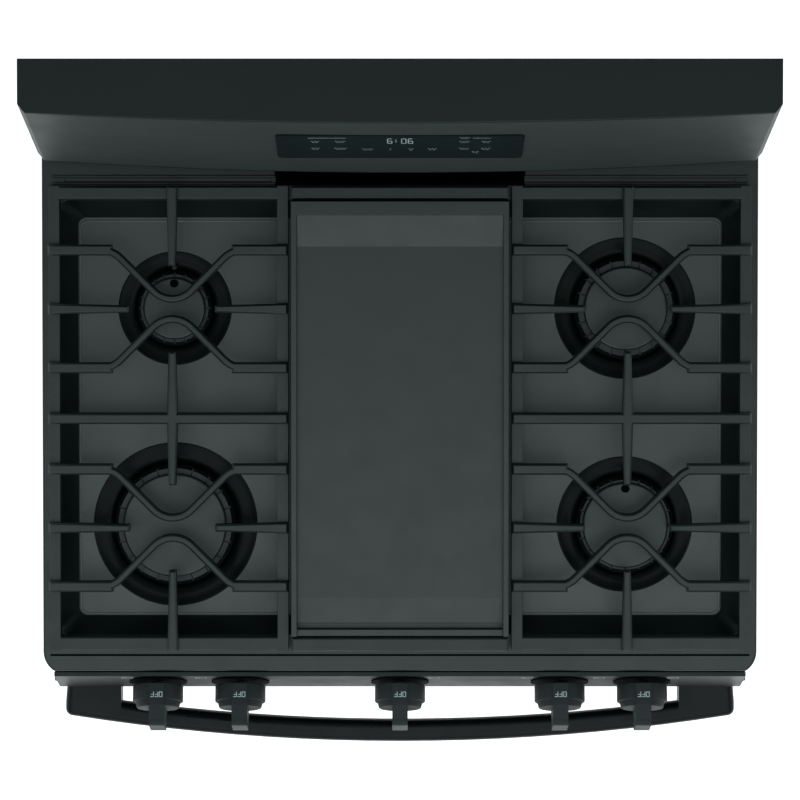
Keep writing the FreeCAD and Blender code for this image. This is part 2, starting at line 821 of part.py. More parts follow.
def make_oven():
    outer = box("liner_outer", ("-oven_half - liner_sheet", "oven_half + liner_sheet"),
                ("frame_back", "oven_back + liner_sheet"),
                ("burner_box_bottom - liner_sheet", "oven_top + liner_sheet"))
    inner = box("liner_inner", ("-oven_half", "oven_half"), ("frame_back - 1", "oven_back"),
                ("burner_box_bottom", "oven_top"))
    outlet = box("liner_outlet", ("-flue_half + sheet_metal", "flue_half - sheet_metal"),
                 ("flue_riser_front + sheet_metal", "flue_riser_rear - sheet_metal"),
                 ("oven_top - 1", "oven_top + liner_sheet + 1"))
    ledges = []
    for side, sign in SIDES:
        ledges.append(box("floor_ledge_" + side, span("oven_half - floor_ledge", "oven_half", sign),
                          ("frame_back", "oven_back"),
                          ("oven_floor_level - 3 * liner_sheet", "oven_floor_level - liner_sheet")))
    shell = cut("liner_shell", outer, [inner, outlet])
    node(fuse("oven_liner", [shell] + ledges), "oven_liner")

    floor = box("floor_plate", ("-oven_half + seat_gap", "oven_half - seat_gap"),
                ("frame_back + 4", "oven_back - seat_gap"),
                ("oven_floor_level - liner_sheet", "oven_floor_level"))
    slots = []
    for side, sign in SIDES:
        for index in range(4):
            middle = "oven_back - (%d + 0.5) * floor_slot_pitch" % index
            slots.append(box("floor_slot_%s_%d" % (side, index),
                             span("oven_half - 5 * floor_slot_width", "oven_half - 4 * floor_slot_width", sign),
                             (middle + " - floor_slot_length / 2", middle + " + floor_slot_length / 2"),
                             ("oven_floor_level - 2 * liner_sheet", "oven_floor_level + 1")))
    node(cut("oven_floor", floor, slots), "oven_floor")

    wrap = box("blanket_outer", ("-oven_half - liner_sheet - blanket", "oven_half + liner_sheet + blanket"),
               ("frame_back", "oven_back + liner_sheet + blanket"),
               ("burner_box_bottom - liner_sheet - blanket_under", "oven_top + liner_sheet + blanket"))
    core = box("blanket_core", ("-oven_half - liner_sheet", "oven_half + liner_sheet"),
               ("frame_back - 1", "oven_back + liner_sheet"),
               ("burner_box_bottom - liner_sheet", "oven_top + liner_sheet"))
    riser = box("blanket_riser", ("-flue_half - seat_gap", "flue_half + seat_gap"),
                ("flue_riser_front - seat_gap", "flue_riser_rear + seat_gap"),
                ("oven_top", "oven_top + liner_sheet + blanket + 1"))
    node(cut("insulation_blanket", wrap, [core, riser]), "insulation_blanket")

    margin = "(gasket_margin + gasket_width)"
    ring = box("gasket_outer", ("-oven_half - " + margin, "oven_half + " + margin),
               ("door_back + seat_gap", "cabinet_front"),
               ("oven_floor_level - " + margin, "oven_top + " + margin))
    hole = box("gasket_inner", ("-oven_half - gasket_margin", "oven_half + gasket_margin"),
               ("door_back - 1", "cabinet_front + 1"),
               ("oven_floor_level - gasket_margin", "oven_top + gasket_margin"))
    node(cut("door_gasket", ring, [hole]), "door_gasket")


def make_rack_guides():
    guides = []
    for side, sign in SIDES:
        pieces = []
        for name, middle in (("front", "frame_back + 60"), ("rear", "oven_back - 60")):
            pieces.append(box("guide_post_%s_%s" % (side, name),
                              span("oven_half - rack_guide_thickness", "oven_half", sign),
                              (middle + " - 3", middle + " + 3"),
                              ("rack_level - rack_guide_pitch - 20", "rack_level + rack_guide_pitch + 20")))
        for index in (-1, 0, 1):
            top = "rack_level + (%d) * rack_guide_pitch" % index
            pieces.append(box("guide_ledge_%s_%d" % (side, index + 1),
                              span("oven_half - rack_guide_depth", "oven_half", sign),
                              ("frame_back + 30", "oven_back - 10"),
                              (top + " - rack_guide_thickness", top)))
        guides.append(fuse("rack_guide_" + side, pieces))
    node(group("rack_guides", guides), "rack_guides")


def make_oven_rack():
    """A wire rack: a round frame, thin rods across it and two bearers under them."""
    half = number("oven_half - rack_side_room - rack_wire_radius")
    rear = number("oven_back - seat_gap - 12 - rack_wire_radius")
    depth = number("rack_depth")
    front = rear - depth
    frame = number("rack_wire_radius")
    thin = number("rack_rod_radius")
    level = number("rack_level + seat_gap") + frame
    corner = 4 * frame
    left = Vector(-half, front + depth / 2, level)
    points = [left, Vector(-half, front, level), Vector(half, front, level), Vector(half, rear, level),
              Vector(-half, rear, level), left]
    pieces = [bent_tube(points, frame, corner)]
    count = 15
    for index in range(count):
        x = -half + 2 * half * (index + 1) / (count + 1)
        pieces.append(Part.makeCylinder(thin, depth, Vector(x, front, level + thin), Vector(0, 1, 0)))
    for y in (front + depth / 3, front + 2 * depth / 3):
        pieces.append(Part.makeCylinder(frame, 2 * half, Vector(-half, y, level), Vector(1, 0, 0)))
    solid_node("oven_rack", pieces[0].multiFuse(pieces[1:]))


def make_oven_fittings():
    rear = number("oven_back - seat_gap")
    front = number("frame_back + 60")
    for name, half, radius, bend, level in (
            ("bake_burner", "bake_half", "bake_radius", "bake_bend",
             "burner_box_bottom + bake_radius + seat_gap"),
            ("broil_burner", "broil_half", "broil_radius", "bake_bend", "oven_top - broil_drop")):
        x = number(half)
        z = number(level)
        route = [Vector(-x, rear, z), Vector(-x, front, z), Vector(x, front, z), Vector(x, rear, z)]
        solid_node(name, bent_tube(route, number(radius), number(bend)))
    sensor_z = "oven_top - broil_drop - 40"
    node(rod("oven_sensor", "sensor_radius", "y", "sensor_length", "broil_half + 40",
             "oven_back - seat_gap - sensor_length", sensor_z), "oven_sensor")
    lamp = body("oven_lamp")
    profile = outline(lamp, "lamp_profile", "XY_Plane", [
        ("0", "0"), ("lamp_radius", "0"), ("lamp_radius", "lamp_depth / 2"),
        ("lamp_radius * 0.8", "lamp_depth / 2"), ("0", "lamp_depth"),
    ])
    revolve(lamp, profile)
    lamp.Placement = FreeCAD.Placement(Vector(), FreeCAD.Rotation(Vector(0, 0, 1), 180))
    place(lamp, "-broil_half - 70", "oven_back - seat_gap", sensor_z)
    node(lamp, "oven_lamp")


def make_flue():
    """The oven's exhaust: a riser from the oven roof, a level run to the back and an upright outlet."""
    sheet = "sheet_metal"
    x = ("-flue_half", "flue_half")
    x_in = ("-flue_half + " + sheet, "flue_half - " + sheet)
    run = ("deck_height - flue_level - flue_depth", "deck_height - flue_level")
    pairs = (
        ("riser", ("flue_riser_front", "flue_riser_rear"), ("oven_top + liner_sheet", run[1]), -1),
        ("run", ("flue_riser_front", "flue_rear"), run, 0),
        ("outlet", ("flue_front", "flue_rear"), (run[0], "flue_top"), 1),
    )
    outer = []
    inner = []
    for name, y, z, opening in pairs:
        outer.append(box("flue_" + name, x, y, z))
        low = "(%s) - 1" % z[0] if opening < 0 else "(%s) + %s" % (z[0], sheet)
        high = "(%s) + 1" % z[1] if opening > 0 else "(%s) - %s" % (z[1], sheet)
        inner.append(box("flue_way_" + name, x_in, ("(%s) + %s" % (y[0], sheet), "(%s) - %s" % (y[1], sheet)),
                         (low, high)))
    node(cut("flue_duct", fuse("flue_blank", outer), inner), "flue_duct")


# ---------------------------------------------------------------------------------------------
# Cooktop and burners
# ---------------------------------------------------------------------------------------------

# name: burner's X and Y, then the radii of its dish, head and cap
BURNERS = {
    "rear_left": ("-burner_x", "rear_burner_y", 59.0, 40.0, 33.0),
    "front_left": ("-burner_x", "front_burner_y", 86.0, 64.5, 55.0),
    "rear_right": ("burner_x", "rear_burner_y", 74.0, 54.5, 44.5),
    "front_right": ("burner_x", "front_burner_y", 71.0, 52.0, 45.5),
}


def make_cooktop():
    top = body("cooktop")
    corners = [
        ("-half_width + deck_corner_cut", "front_lip"),
        ("half_width - deck_corner_cut", "front_lip", "deck_corner_cut / 4"),
        ("half_width", "front_lip + deck_corner_run"),
        ("half_width", "back_inner"),
        ("-half_width", "back_inner"),
        ("-half_width", "front_lip + deck_corner_run", "deck_corner_cut / 4"),
    ]
    pad(top, outline(top, "deck_outline", "XY_Plane", corners, "skirt_bottom"), "rim_drop")
    deck_top = number("deck_height")
    soften(top, "deck_edge_round", lambda edge: lies_at(edge, "Z", deck_top), "rim")
    hollow = [
        ("-half_width + 2 * deck_corner_cut", "front_lip + deck_sheet"),
        ("half_width - 2 * deck_corner_cut", "front_lip + deck_sheet"),
        ("half_width - deck_sheet", "front_lip + 2 * deck_corner_run"),
        ("half_width - deck_sheet", "back_inner - deck_sheet"),
        ("-half_width + deck_sheet", "back_inner - deck_sheet"),
        ("-half_width + deck_sheet", "front_lip + 2 * deck_corner_run"),
    ]
    pocket(top, outline(top, "deck_hollow", "XY_Plane", hollow, "skirt_bottom"),
           "rim_drop - deck_sheet", upward=True)

    def well(name, grow, level, taper):
        x = ("-well_half - %s + %s" % (grow, taper), "well_half + %s - %s" % (grow, taper))
        y = ("well_front - %s + %s" % (grow, taper), "well_rear + %s - %s" % (grow, taper))
        return rounded(top, name, "XY_Plane", x, y, "well_corner + " + grow, level)

    slope = "well_slope_width"
    loft(top, "well_outside", [
        well("well_outer_top", "deck_sheet", "deck_height - deck_sheet", "0"),
        well("well_outer_floor", "deck_sheet", "well_floor - deck_sheet", slope),
    ])
    loft(top, "well_inside", [
        well("well_inner_top", "0", "deck_height", "0"),
        well("well_inner_floor", "0", "well_floor", slope),
    ], subtract=True)
    dishes = [(x, y, str(dish)) for x, y, dish, head, cap in BURNERS.values()]
    pocket(top, circles(top, "burner_dishes", "XY_Plane", dishes, "well_floor"), "dish_depth")
    throats = [(x, y, "throat_radius + throat_clearance") for x, y, dish, head, cap in BURNERS.values()]
    throats.append(("0", "middle_y", "throat_radius + throat_clearance"))
    pocket(top, circles(top, "burner_throats", "XY_Plane", throats, "well_floor"), "2 * deck_sheet")
    vent = rounded(top, "vent_opening", "XY_Plane",
                   ("-flue_half - flue_clearance", "flue_half + flue_clearance"),
                   ("flue_front - flue_clearance", "flue_rear + flue_clearance"), "4", "deck_height")
    pocket(top, vent, "2 * deck_sheet")
    node(top, "cooktop")


def make_burners():
    heads = []
    for name, (x, y, dish, head, cap) in BURNERS.items():
        base = body("burner_head_" + name)
        top = "head_height"
        profile = outline(base, "head_profile_" + name, "XZ_Plane", [
            ("throat_bore", "-throat_drop"),
            ("throat_radius", "-throat_drop"),
            ("throat_radius", "0"),
            ("%s - head_shoulder" % head, "0"),
            (str(head), "head_floor"),
            ("%s - head_shoulder" % head, top),
            ("%s - head_shoulder - head_wall" % head, top),
            ("%s - head_shoulder - head_wall" % head, "head_floor"),
            ("throat_bore", "head_floor"),
        ])
        revolve(base, profile)
        port = rounded(base, "port_" + name, "XY_Plane",
                       ("%s - head_shoulder - head_wall - 1" % head, "%s + 1" % head),
                       ("-port_width / 2", "port_width / 2"), "port_width / 4", top)
        slot = pocket(base, port, "port_depth")
        ports = base.newObject("PartDesign::PolarPattern", "ports_" + name)
        ports.Originals = [slot]
        for feature in base.Origin.OriginFeatures:
            if feature.Role == "Z_Axis":
                ports.Axis = (feature, [""])
        ports.Angle = 360
        ports.Occurrences = 20
        base.Tip = ports
        place(base, x, y, "dish_floor")
        heads.append(base)

        lid = body("burner_cap_" + name)
        spigot = "%s - head_shoulder - head_wall - cap_spigot_clearance" % head
        profile = outline(lid, "cap_profile_" + name, "XZ_Plane", [
            ("0", "0"),
            ("%s - 4" % spigot, "0"),
            ("%s - 4" % spigot, "-cap_spigot_height"),
            (spigot, "-cap_spigot_height"),
            (spigot, "0"),
            (str(cap), "0"),
            (str(cap), "cap_height - cap_round", "cap_round * (1 - sqrt(0.5))"),
            ("%s - cap_round" % cap, "cap_height"),
            ("0", "cap_height"),
        ])
        revolve(lid, profile)
        place(lid, x, y, "head_top")
        node(lid, "burner_cap_" + name)

    oval = body("burner_head_center")
    pad(oval, rounded(oval, "oval_outline", "XY_Plane", ("-oval_half_width", "oval_half_width"),
                      ("-oval_half_length", "oval_half_length"), "oval_half_width - 0.5", "dish_depth"),
        "head_height - dish_depth")
    pad(oval, circles(oval, "oval_throat", "XY_Plane", [("0", "0", "throat_radius")], "-throat_drop"),
        "throat_drop + head_floor")
    chamber = rounded(oval, "oval_chamber", "XY_Plane",
                      ("-oval_half_width + head_wall", "oval_half_width - head_wall"),
                      ("-oval_half_length + head_wall", "oval_half_length - head_wall"),
                      "oval_half_width - head_wall - 0.5", "head_height")
    pocket(oval, chamber, "head_height - head_floor - dish_depth")
    place(oval, "0", "middle_y", "dish_floor")
    heads.append(oval)
    node(group("burner_heads", heads), "burner_heads")

    lid = body("burner_cap_center")
    pad(lid, rounded(lid, "oval_cap", "XY_Plane",
                     ("-oval_half_width + oval_cap_inset / 2", "oval_half_width - oval_cap_inset / 2"),
                     ("-oval_half_length + oval_cap_inset / 2", "oval_half_length - oval_cap_inset / 2"),
                     "oval_half_width - oval_cap_inset / 2 - 0.5"), "cap_height")
    inset = "(head_wall + cap_spigot_clearance)"
    pad(lid, rounded(lid, "oval_spigot", "XY_Plane",
                     ("-oval_half_width + " + inset, "oval_half_width - " + inset),
                     ("-oval_half_length + " + inset, "oval_half_length - " + inset),
                     "oval_half_width - %s - 0.5" % inset, "-cap_spigot_height"), "cap_spigot_height")
    place(lid, "0", "middle_y", "head_top")
    node(lid, "burner_cap_center")


def make_electrodes():
    pins = []
    for name, (x, y, dish, head, cap) in BURNERS.items():
        pins.append(rod("electrode_" + name, "electrode_radius", "z", "electrode_height",
                        x, "%s + %s + electrode_spacing" % (y, head), "dish_floor"))
    pins.append(rod("electrode_center", "electrode_radius", "z", "electrode_height", "0",
                    "middle_y + oval_half_length + electrode_spacing", "well_floor"))
    node(group("spark_electrodes", pins), "spark_electrodes")


# ---------------------------------------------------------------------------------------------
# Gas supply
# ---------------------------------------------------------------------------------------------

# name: knob's X, then the X and Y of the burner that it feeds
KNOBS = {
    "left_outer": ("-knob_outer_x", "-burner_x", "front_burner_y"),
    "left_inner": ("-knob_inner_x", "-burner_x", "rear_burner_y"),
    "middle": ("0", "0", "middle_y"),
    "right_inner": ("knob_inner_x", "burner_x", "rear_burner_y"),
    "right_outer": ("knob_outer_x", "burner_x", "front_burner_y"),
}


def make_gas_supply():
    valves = []
    tubes = []
    valve_y = number("valve_end_y - 9")
    valve_drop = number("(valve_radius / cos(panel_lean)) + 6 * tan(panel_lean)")
    axis_z = number("knob_z - (valve_end_y - 9 - knob_y) * tan(panel_lean)")
    level = number("tube_level")
    for name, (x, burner_x, burner_y) in KNOBS.items():
        housing = knob_rod("valve_housing_" + name, "valve_radius", x,
                           "-valve_rear_depth", "-valve_front_depth")
        bore = knob_rod("valve_bore_" + name, "spindle_radius + spindle_fit", x,
                        "-spindle_depth - seat_gap", "-valve_front_depth + 1")
        valves.append(cut("valve_" + name, housing, [bore]))
        start_x = number(x)
        end = Vector(number(burner_x), number(burner_y), level)
        route = [Vector(start_x, valve_y, axis_z - valve_drop - number("seat_gap")),
                 Vector(start_x, valve_y, level), end, Vector(end.x, end.y, number("throat_bottom - seat_gap"))]
        tube = doc.addObject("Part::Feature", "burner_tube_" + name)
        tube.Shape = bent_tube(route, number("tube_radius"), number("tube_bend") * 0.6)
        tubes.append(tube)
    node(group("burner_valves", valves), "burner_valves")
    node(group("burner_tubes", tubes), "burner_tubes")

    half = number("manifold_half")
    y = number("manifold_y + seat_gap")
    z = number("valve_end_z")
    side_x = -number("side_inner - feed_radius - 6")
    regulator_x = number("regulator_x")
    regulator_y = number("back_inner - regulator_gap - regulator_depth / 2")
    start = Vector(regulator_x, regulator_y, number("regulator_bottom + regulator_height"))
    main = Part.makeCylinder(number("manifold_radius"), 2 * half, Vector(-half, y, z), Vector(1, 0, 0))
    feed = bent_tube([start, Vector(regulator_x, regulator_y, z), Vector(side_x, regulator_y, z),
                      Vector(side_x, y, z), Vector(-half + 5, y, z)],
                     number("feed_radius"), number("feed_bend"))
    solid_node("gas_manifold", main.fuse(feed))

    block = box("regulator_block", ("regulator_x - regulator_width / 2", "regulator_x + regulator_width / 2"),
                ("back_inner - regulator_gap - regulator_depth", "back_inner - regulator_gap"),
                ("regulator_bottom", "regulator_bottom + regulator_height"))
    middle_z = "regulator_bottom + regulator_height / 2"
    socket = rod("inlet_socket", "inlet_radius", "y", "regulator_gap + 1", "regulator_x",
                 "back_inner - regulator_gap - 1", middle_z)
    bore = rod("inlet_hole", "inlet_bore", "y", "inlet_bore_depth + 1", "regulator_x",
               "back_inner - inlet_bore_depth", middle_z)
    node(cut("gas_regulator", fuse("regulator_blank", [block, socket]), [bore]), "gas_regulator")


# ---------------------------------------------------------------------------------------------
# Grates and griddle
# ---------------------------------------------------------------------------------------------


def make_side_grates():
    """Each side grate: a frame of rails, two bent arches and four straight fingers to each burner."""
    outer = number("grate_outer")
    inner = number("grate_inner")
    rear = number("grate_rear")
    front = number("grate_front")
    middle = number("middle_y")
    rail = number("rail_width")
    side_rail = number("side_rail_width")
    width = number("finger_width")
    tip = number("finger_tip_width")
    edge = number("finger_edge")
    top = number("grate_top")
    low = top - number("finger_depth")
    rail_z = (number("rail_bottom"), number("rail_top"))
    deck = number("deck_height")
    foot = number("foot_size")
    offset = number("arch_offset")
    reach = number("arch_reach")
    bend = number("arch_bend")
    lead = number("arch_lead")
    clear = number("finger_clear")
    diagonal = number("diagonal_width")
    for side, sign in SIDES:
        center = sign * number("burner_x")
        ends = sorted((sign * outer, sign * inner))
        left, right = ends
        pieces = [
            cast_block((left, right), (rear - rail, rear), rail_z, edge),
            cast_block((left, right), (front, front + rail), rail_z, edge),
            cast_block((left, right), (middle - width / 2, middle + width / 2), (rail_z[0], top), edge),
            Part.makeBox(side_rail, rear - front, rail_z[1] - rail_z[0], Vector(left, front, rail_z[0])),
            Part.makeBox(side_rail, rear - front, rail_z[1] - rail_z[0],
                         Vector(right - side_rail, front, rail_z[0])),
        ]
        for x in (left, right - foot):
            for y in (front, rear - foot):
                pieces.append(Part.makeBox(foot, foot, rail_z[0] - deck, Vector(x, y, deck)))
        for burner_y in (number("front_burner_y"), number("rear_burner_y")):
            for way in (-1, 1):
                level = burner_y + way * offset
                straight = (width, width)
                apex = (center, level - way * reach)
                bent = [(center - reach - lead, level), (center - reach, level), apex,
                        (center + reach, level), (center + reach + lead, level)]
                pieces.append(cast_bar([(left, level), bent[1]], straight, low, top, edge))
                pieces.append(cast_bar([bent[3], (right, level)], straight, low, top, edge))
                pieces.append(cast_bar(bent, (diagonal, diagonal), low, top, edge, bend))
                limit = middle if way * (middle - burner_y) > 0 else (rear if way > 0 else front)
                pieces.append(cast_bar([(center, limit), (center, burner_y + way * clear)],
                                       (width, tip), low, top, edge))
            for x, way in ((left, -1), (right, 1)):
                pieces.append(cast_bar([(x, burner_y), (center + way * clear, burner_y)],
                                       (width, tip), low, top, edge))
        solid_node("grate_" + side, pieces[0].multiFuse(pieces[1:]).removeSplitter())


def make_center_grate():
    half = number("center_grate_half")
    rear = number("grate_rear")
    front = number("grate_front")
    rail = number("rail_width")
    side_rail = number("side_rail_width")
    low = number("rail_bottom")
    seat = number("griddle_seat")
    top = number("grate_top")
    edge = number("finger_edge")
    deck = number("deck_height")
    foot = number("foot_size")
    pieces = [
        cast_block((-half, half), (rear - rail, rear), (low, top), edge),
        cast_block((-half, half), (front, front + rail), (low, top), edge),
    ]
    for x in (-half, half - side_rail):
        pieces.append(Part.makeBox(side_rail, rear - front, seat - low, Vector(x, front, low)))
    middle = number("middle_y")
    arm = number("center_grate_half - oval_half_width - 4")
    for y in (middle - 100, middle, middle + 100):
        for x in (-half, half - arm):
            pieces.append(Part.makeBox(arm, side_rail, seat - low, Vector(x, y - side_rail / 2, low)))
    for x in (-half, half - foot):
        for y in (front, rear - foot):
            pieces.append(Part.makeBox(foot, foot, low - deck, Vector(x, y, deck)))
    solid_node("center_grate", pieces[0].multiFuse(pieces[1:]).removeSplitter())


def make_griddle():
    plate = body("griddle")
    top = "griddle_height"
    surface = "griddle_floor"
    whole = outline(plate, "griddle_outline", "YZ_Plane", [
        ("griddle_front", "0"), ("griddle_rear", "0"), ("griddle_rear", top), ("griddle_front", top),
    ])
    pad(plate, whole, "2 * center_grate_half", symmetric=True)
    rear_edge = "griddle_rear - griddle_rear_rim"
    strip = "griddle_front + griddle_front_strip"
    trough = strip + " + griddle_trough_width"
    scoop = outline(plate, "griddle_scoop", "YZ_Plane", [
        ("griddle_front - 1", surface),
        (strip, surface),
        (strip, "griddle_trough_floor"),
        (trough, "griddle_trough_floor"),
        (trough, surface + " - griddle_slope_drop"),
        (trough + " + griddle_front_slope", surface),
        (rear_edge + " - griddle_rear_slope", surface),
        (rear_edge, top + " - 1"),
        (rear_edge, top + " + 1"),
        ("griddle_front - 1", top + " + 1"),
    ])
    pocket(plate, scoop, "2 * (center_grate_half - griddle_rim)", symmetric=True)
    place(plate, "0", "0", "griddle_seat")
    node(plate, "griddle")


# ---------------------------------------------------------------------------------------------
# Control panel and knobs
# ---------------------------------------------------------------------------------------------


def make_control_panel():
    blank = body("panel_blank")
    slope = "tan(panel_lean)"
    lip_y = "panel_top_y + panel_lip"
    lip_z = "panel_top_z - 10"
    outside = outline(blank, "panel_outside", "YZ_Plane", [
        ("panel_bottom_y", "panel_bottom_z"), ("frame_back", "panel_bottom_z"), ("frame_back", lip_z),
        (lip_y, lip_z), (lip_y, "panel_top_z"), ("panel_top_y", "panel_top_z"),
    ])
    pad(blank, outside, "2 * panel_half", symmetric=True)
    low = "panel_bottom_z + sheet_metal"
    high = lip_z + " - sheet_metal"
    face = "panel_top_y + sheet_metal / cos(panel_lean) - (panel_top_z - (%s)) * " + slope
    inside = outline(blank, "panel_inside", "YZ_Plane", [
        (face % low, low), ("frame_back + 1", low), ("frame_back + 1", high), (face % high, high),
    ])
    pocket(blank, inside, "2 * (panel_half - sheet_metal)", symmetric=True)
    holes = []
    bezels = []
    for name, (x, burner_x, burner_y) in KNOBS.items():
        holes.append(knob_rod("panel_hole_" + name, "panel_hole_radius", x, "-valve_front_depth", "5"))
        disc = knob_rod("bezel_disc_" + name, "bezel_radius", x, "0", "bezel_height")
        hole = knob_rod("bezel_hole_" + name, "panel_hole_radius", x, "-1", "bezel_height + 1")
        bezels.append(cut("bezel_" + name, disc, [hole]))
    node(cut("control_panel", blank, holes), "control_panel")
    node(group("knob_bezels", bezels), "knob_bezels")


def make_knobs():
    for name, (x, burner_x, burner_y) in KNOBS.items():
        shaft = knob_rod("spindle_shaft_" + name, "spindle_radius", x, "-spindle_depth", "spindle_reach")
        collar = knob_rod("spindle_collar_" + name, "spindle_collar_radius", x,
                          "-valve_front_depth + seat_gap", "-valve_front_depth + 3")
        node(fuse("valve_spindle_" + name, [shaft, collar]), "valve_spindle_" + name)

        knob = body("knob_" + name)
        skirt = outline(knob, "skirt_" + name, "XZ_Plane", [
            ("0", "0"),
            ("knob_radius - 1", "0"),
            ("knob_radius", "1"),
            ("knob_radius", "knob_step_height - 1"),
            ("knob_radius - 1", "knob_step_height"),
            ("knob_step_radius", "knob_step_height"),
            ("knob_step_radius - 1.5", "knob_skirt_height - 1"),
            ("knob_step_radius - 2.5", "knob_skirt_height"),
            ("0", "knob_skirt_height"),
        ])
        revolve(knob, skirt)
        half = "knob_blade_half"
        blade = outline(knob, "blade_" + name, "YZ_Plane", [
            ("-%s + 1" % half, "1"),
            (half + " - 1", "1"),
            (half, "2"),
            (half + " - 1", "knob_skirt_height"),
            (half + " - 6", "knob_height - 6", "1.8"),
            (half + " - 12", "knob_height"),
            ("-%s + 12" % half, "knob_height", "1.8"),
            ("-%s + 6" % half, "knob_height - 6"),
            ("-%s + 1" % half, "knob_skirt_height"),
            ("-" + half, "2"),
        ])
        pad(knob, blade, "knob_blade_width", symmetric=True)
        bore = circles(knob, "bore_" + name, "XY_Plane", [("0", "0", "spindle_radius + spindle_fit")])
        pocket(knob, bore, "knob_skirt_height + 2", upward=True)
        y = "knob_y - knob_standoff * cos(panel_lean)"
        z = "knob_z + knob_standoff * sin(panel_lean)"
        lean(knob, x, y, z, "panel_lean")
        node(knob, "knob_" + name)


# ---------------------------------------------------------------------------------------------
# Oven door and handle
# ---------------------------------------------------------------------------------------------


def make_door():
    window = (("-window_half", "window_half"), ("window_bottom", "window_top"))
    skin = body("door_panel_blank")
    face = rounded(skin, "door_face_outline", "XZ_Plane", ("-door_half", "door_half"),
                   ("door_bottom", "door_top"), "4", "-door_face")
    feature = pad(skin, face, "door_split - door_face")
    feature.Reversed = True
    front_y = number("door_face")
    soften(skin, "door_round", lambda edge: lies_at(edge, "Y", front_y), "front")
    hollow = rounded(skin, "door_hollow_outline", "XZ_Plane",
                     ("-door_half + sheet_metal", "door_half - sheet_metal"),
                     ("door_bottom + sheet_metal", "door_top - sheet_metal"), "2.5", "-door_split")
    pocket(skin, hollow, "door_split - door_face - sheet_metal", upward=True)
    pane = rounded(skin, "door_window", "XZ_Plane", window[0], window[1], "window_corner", "-door_face")
    pocket(skin, pane, "2 * sheet_metal")

    liner = body("door_liner_blank")
    plate = rounded(liner, "liner_outline", "XZ_Plane", ("-door_half", "door_half"),
                    ("door_bottom", "door_top"), "4", "-door_back")
    pad(liner, plate, "door_back - door_split")
    room = rounded(liner, "liner_hollow", "XZ_Plane", ("-door_half + sheet_metal", "door_half - sheet_metal"),
                   ("door_bottom + sheet_metal", "door_top - sheet_metal"), "2.5", "-door_split")
    pocket(liner, room, "door_back - door_split - sheet_metal")
    opening = rounded(liner, "liner_window", "XZ_Plane", window[0], window[1], "window_corner", "-door_split")
    pocket(liner, opening, "2 * door_liner_depth")

    tools = {"panel": [], "liner": []}
    for side, sign in SIDES:
        reach = "(hinge_arm_width / 2 + hinge_slot_gap)"
        x = span("hinge_x - " + reach, "hinge_x + " + reach, sign)
        for name in tools:
            tools[name].append(box("hinge_slot_%s_%s" % (name, side), x,
                                   ("door_face + sheet_metal", "door_back + 1"),
                                   ("door_bottom - 1", "door_bottom + hinge_slot_height")))
    node(cut("door_panel", skin, tools["panel"]), "door_panel")
    node(cut("door_liner", liner, tools["liner"]), "door_liner")

    x = ("-window_half - pane_overlap", "window_half + pane_overlap")
    z = ("window_bottom - pane_overlap", "window_top + pane_overlap")
    outer = box("outer_pane", x, ("door_face + sheet_metal", "door_face + sheet_metal + pane_thickness"), z)
    inner = box("inner_pane", x, ("door_back - sheet_metal - pane_thickness", "door_back - sheet_metal"), z)
    node(group("door_glass", [outer, inner]), "door_glass")

    hinges = []
    for side, sign in SIDES:
        reach = "(hinge_arm_width / 2 + hinge_slot_gap)"
        outer_x = ("hinge_x + " + reach, "hinge_x + %s + hinge_cheek" % reach)
        inner_x = ("hinge_x - %s - hinge_cheek" % reach, "hinge_x - " + reach)
        pieces = []
        for name, pair in (("outer", outer_x), ("inner", inner_x)):
            pieces.append(box("cheek_%s_%s" % (name, side), span(pair[0], pair[1], sign),
                              ("door_face + sheet_metal + seat_gap", "door_back - sheet_metal"),
                              ("door_bottom + sheet_metal", "door_bottom + hinge_cheek_height")))
        pin_x = span(inner_x[0], outer_x[1], sign)
        pieces.append(rod("hinge_pin_" + side, "hinge_pin_radius", "x",
                          "2 * (%s + hinge_cheek)" % reach, pin_x[0], "hinge_y", "hinge_z"))
        hinges.append(fuse("door_hinge_" + side, pieces))
    node(group("door_hinges", hinges), "door_hinges")


def make_handle():
    handle = body("door_handle")
    reach = "handle_half"
    front = "handle_end_y"
    radius = "((handle_half^2 + handle_bow^2) / (2 * handle_bow))"
    inner_bow = "(%s - sqrt(%s^2 - handle_post_inner^2))" % (radius, radius)
    back_middle = "(handle_end_y - handle_bow + handle_bar_depth)"
    shape = outline(handle, "handle_plan", "XY_Plane", [
        ("-" + reach, front, "handle_bow"),
        (reach, front),
        (reach, front + " + handle_bar_depth * 0.6"),
        ("handle_post_outer", "door_face"),
        ("handle_post_inner", "door_face"),
        ("handle_post_inner", back_middle + " + " + inner_bow, "-" + inner_bow),
        ("-handle_post_inner", back_middle + " + " + inner_bow),
        ("-handle_post_inner", "door_face"),
        ("-handle_post_outer", "door_face"),
        ("-" + reach, front + " + handle_bar_depth * 0.6"),
    ])
    pad(handle, shape, "handle_height", symmetric=True)
    corner = number(front) - 1

    def is_end_corner(edge):
        bounds = edge.BoundBox
        return bounds.ZLength > 1 and abs(bounds.YMax - corner - 1) < 0.1

    soften(handle, "handle_round", is_end_corner, "ends")
    half = number("handle_height / 2")

    def is_long_front(edge):
        level = lies_at(edge, "Z", half) or lies_at(edge, "Z", -half)
        return level and edge.BoundBox.YMin < number(front)

    soften(handle, "handle_round", is_long_front, "grip")
    place(handle, "0", "0", "handle_z")
    node(handle, "door_handle")


# ---------------------------------------------------------------------------------------------
# Storage drawer
# ---------------------------------------------------------------------------------------------


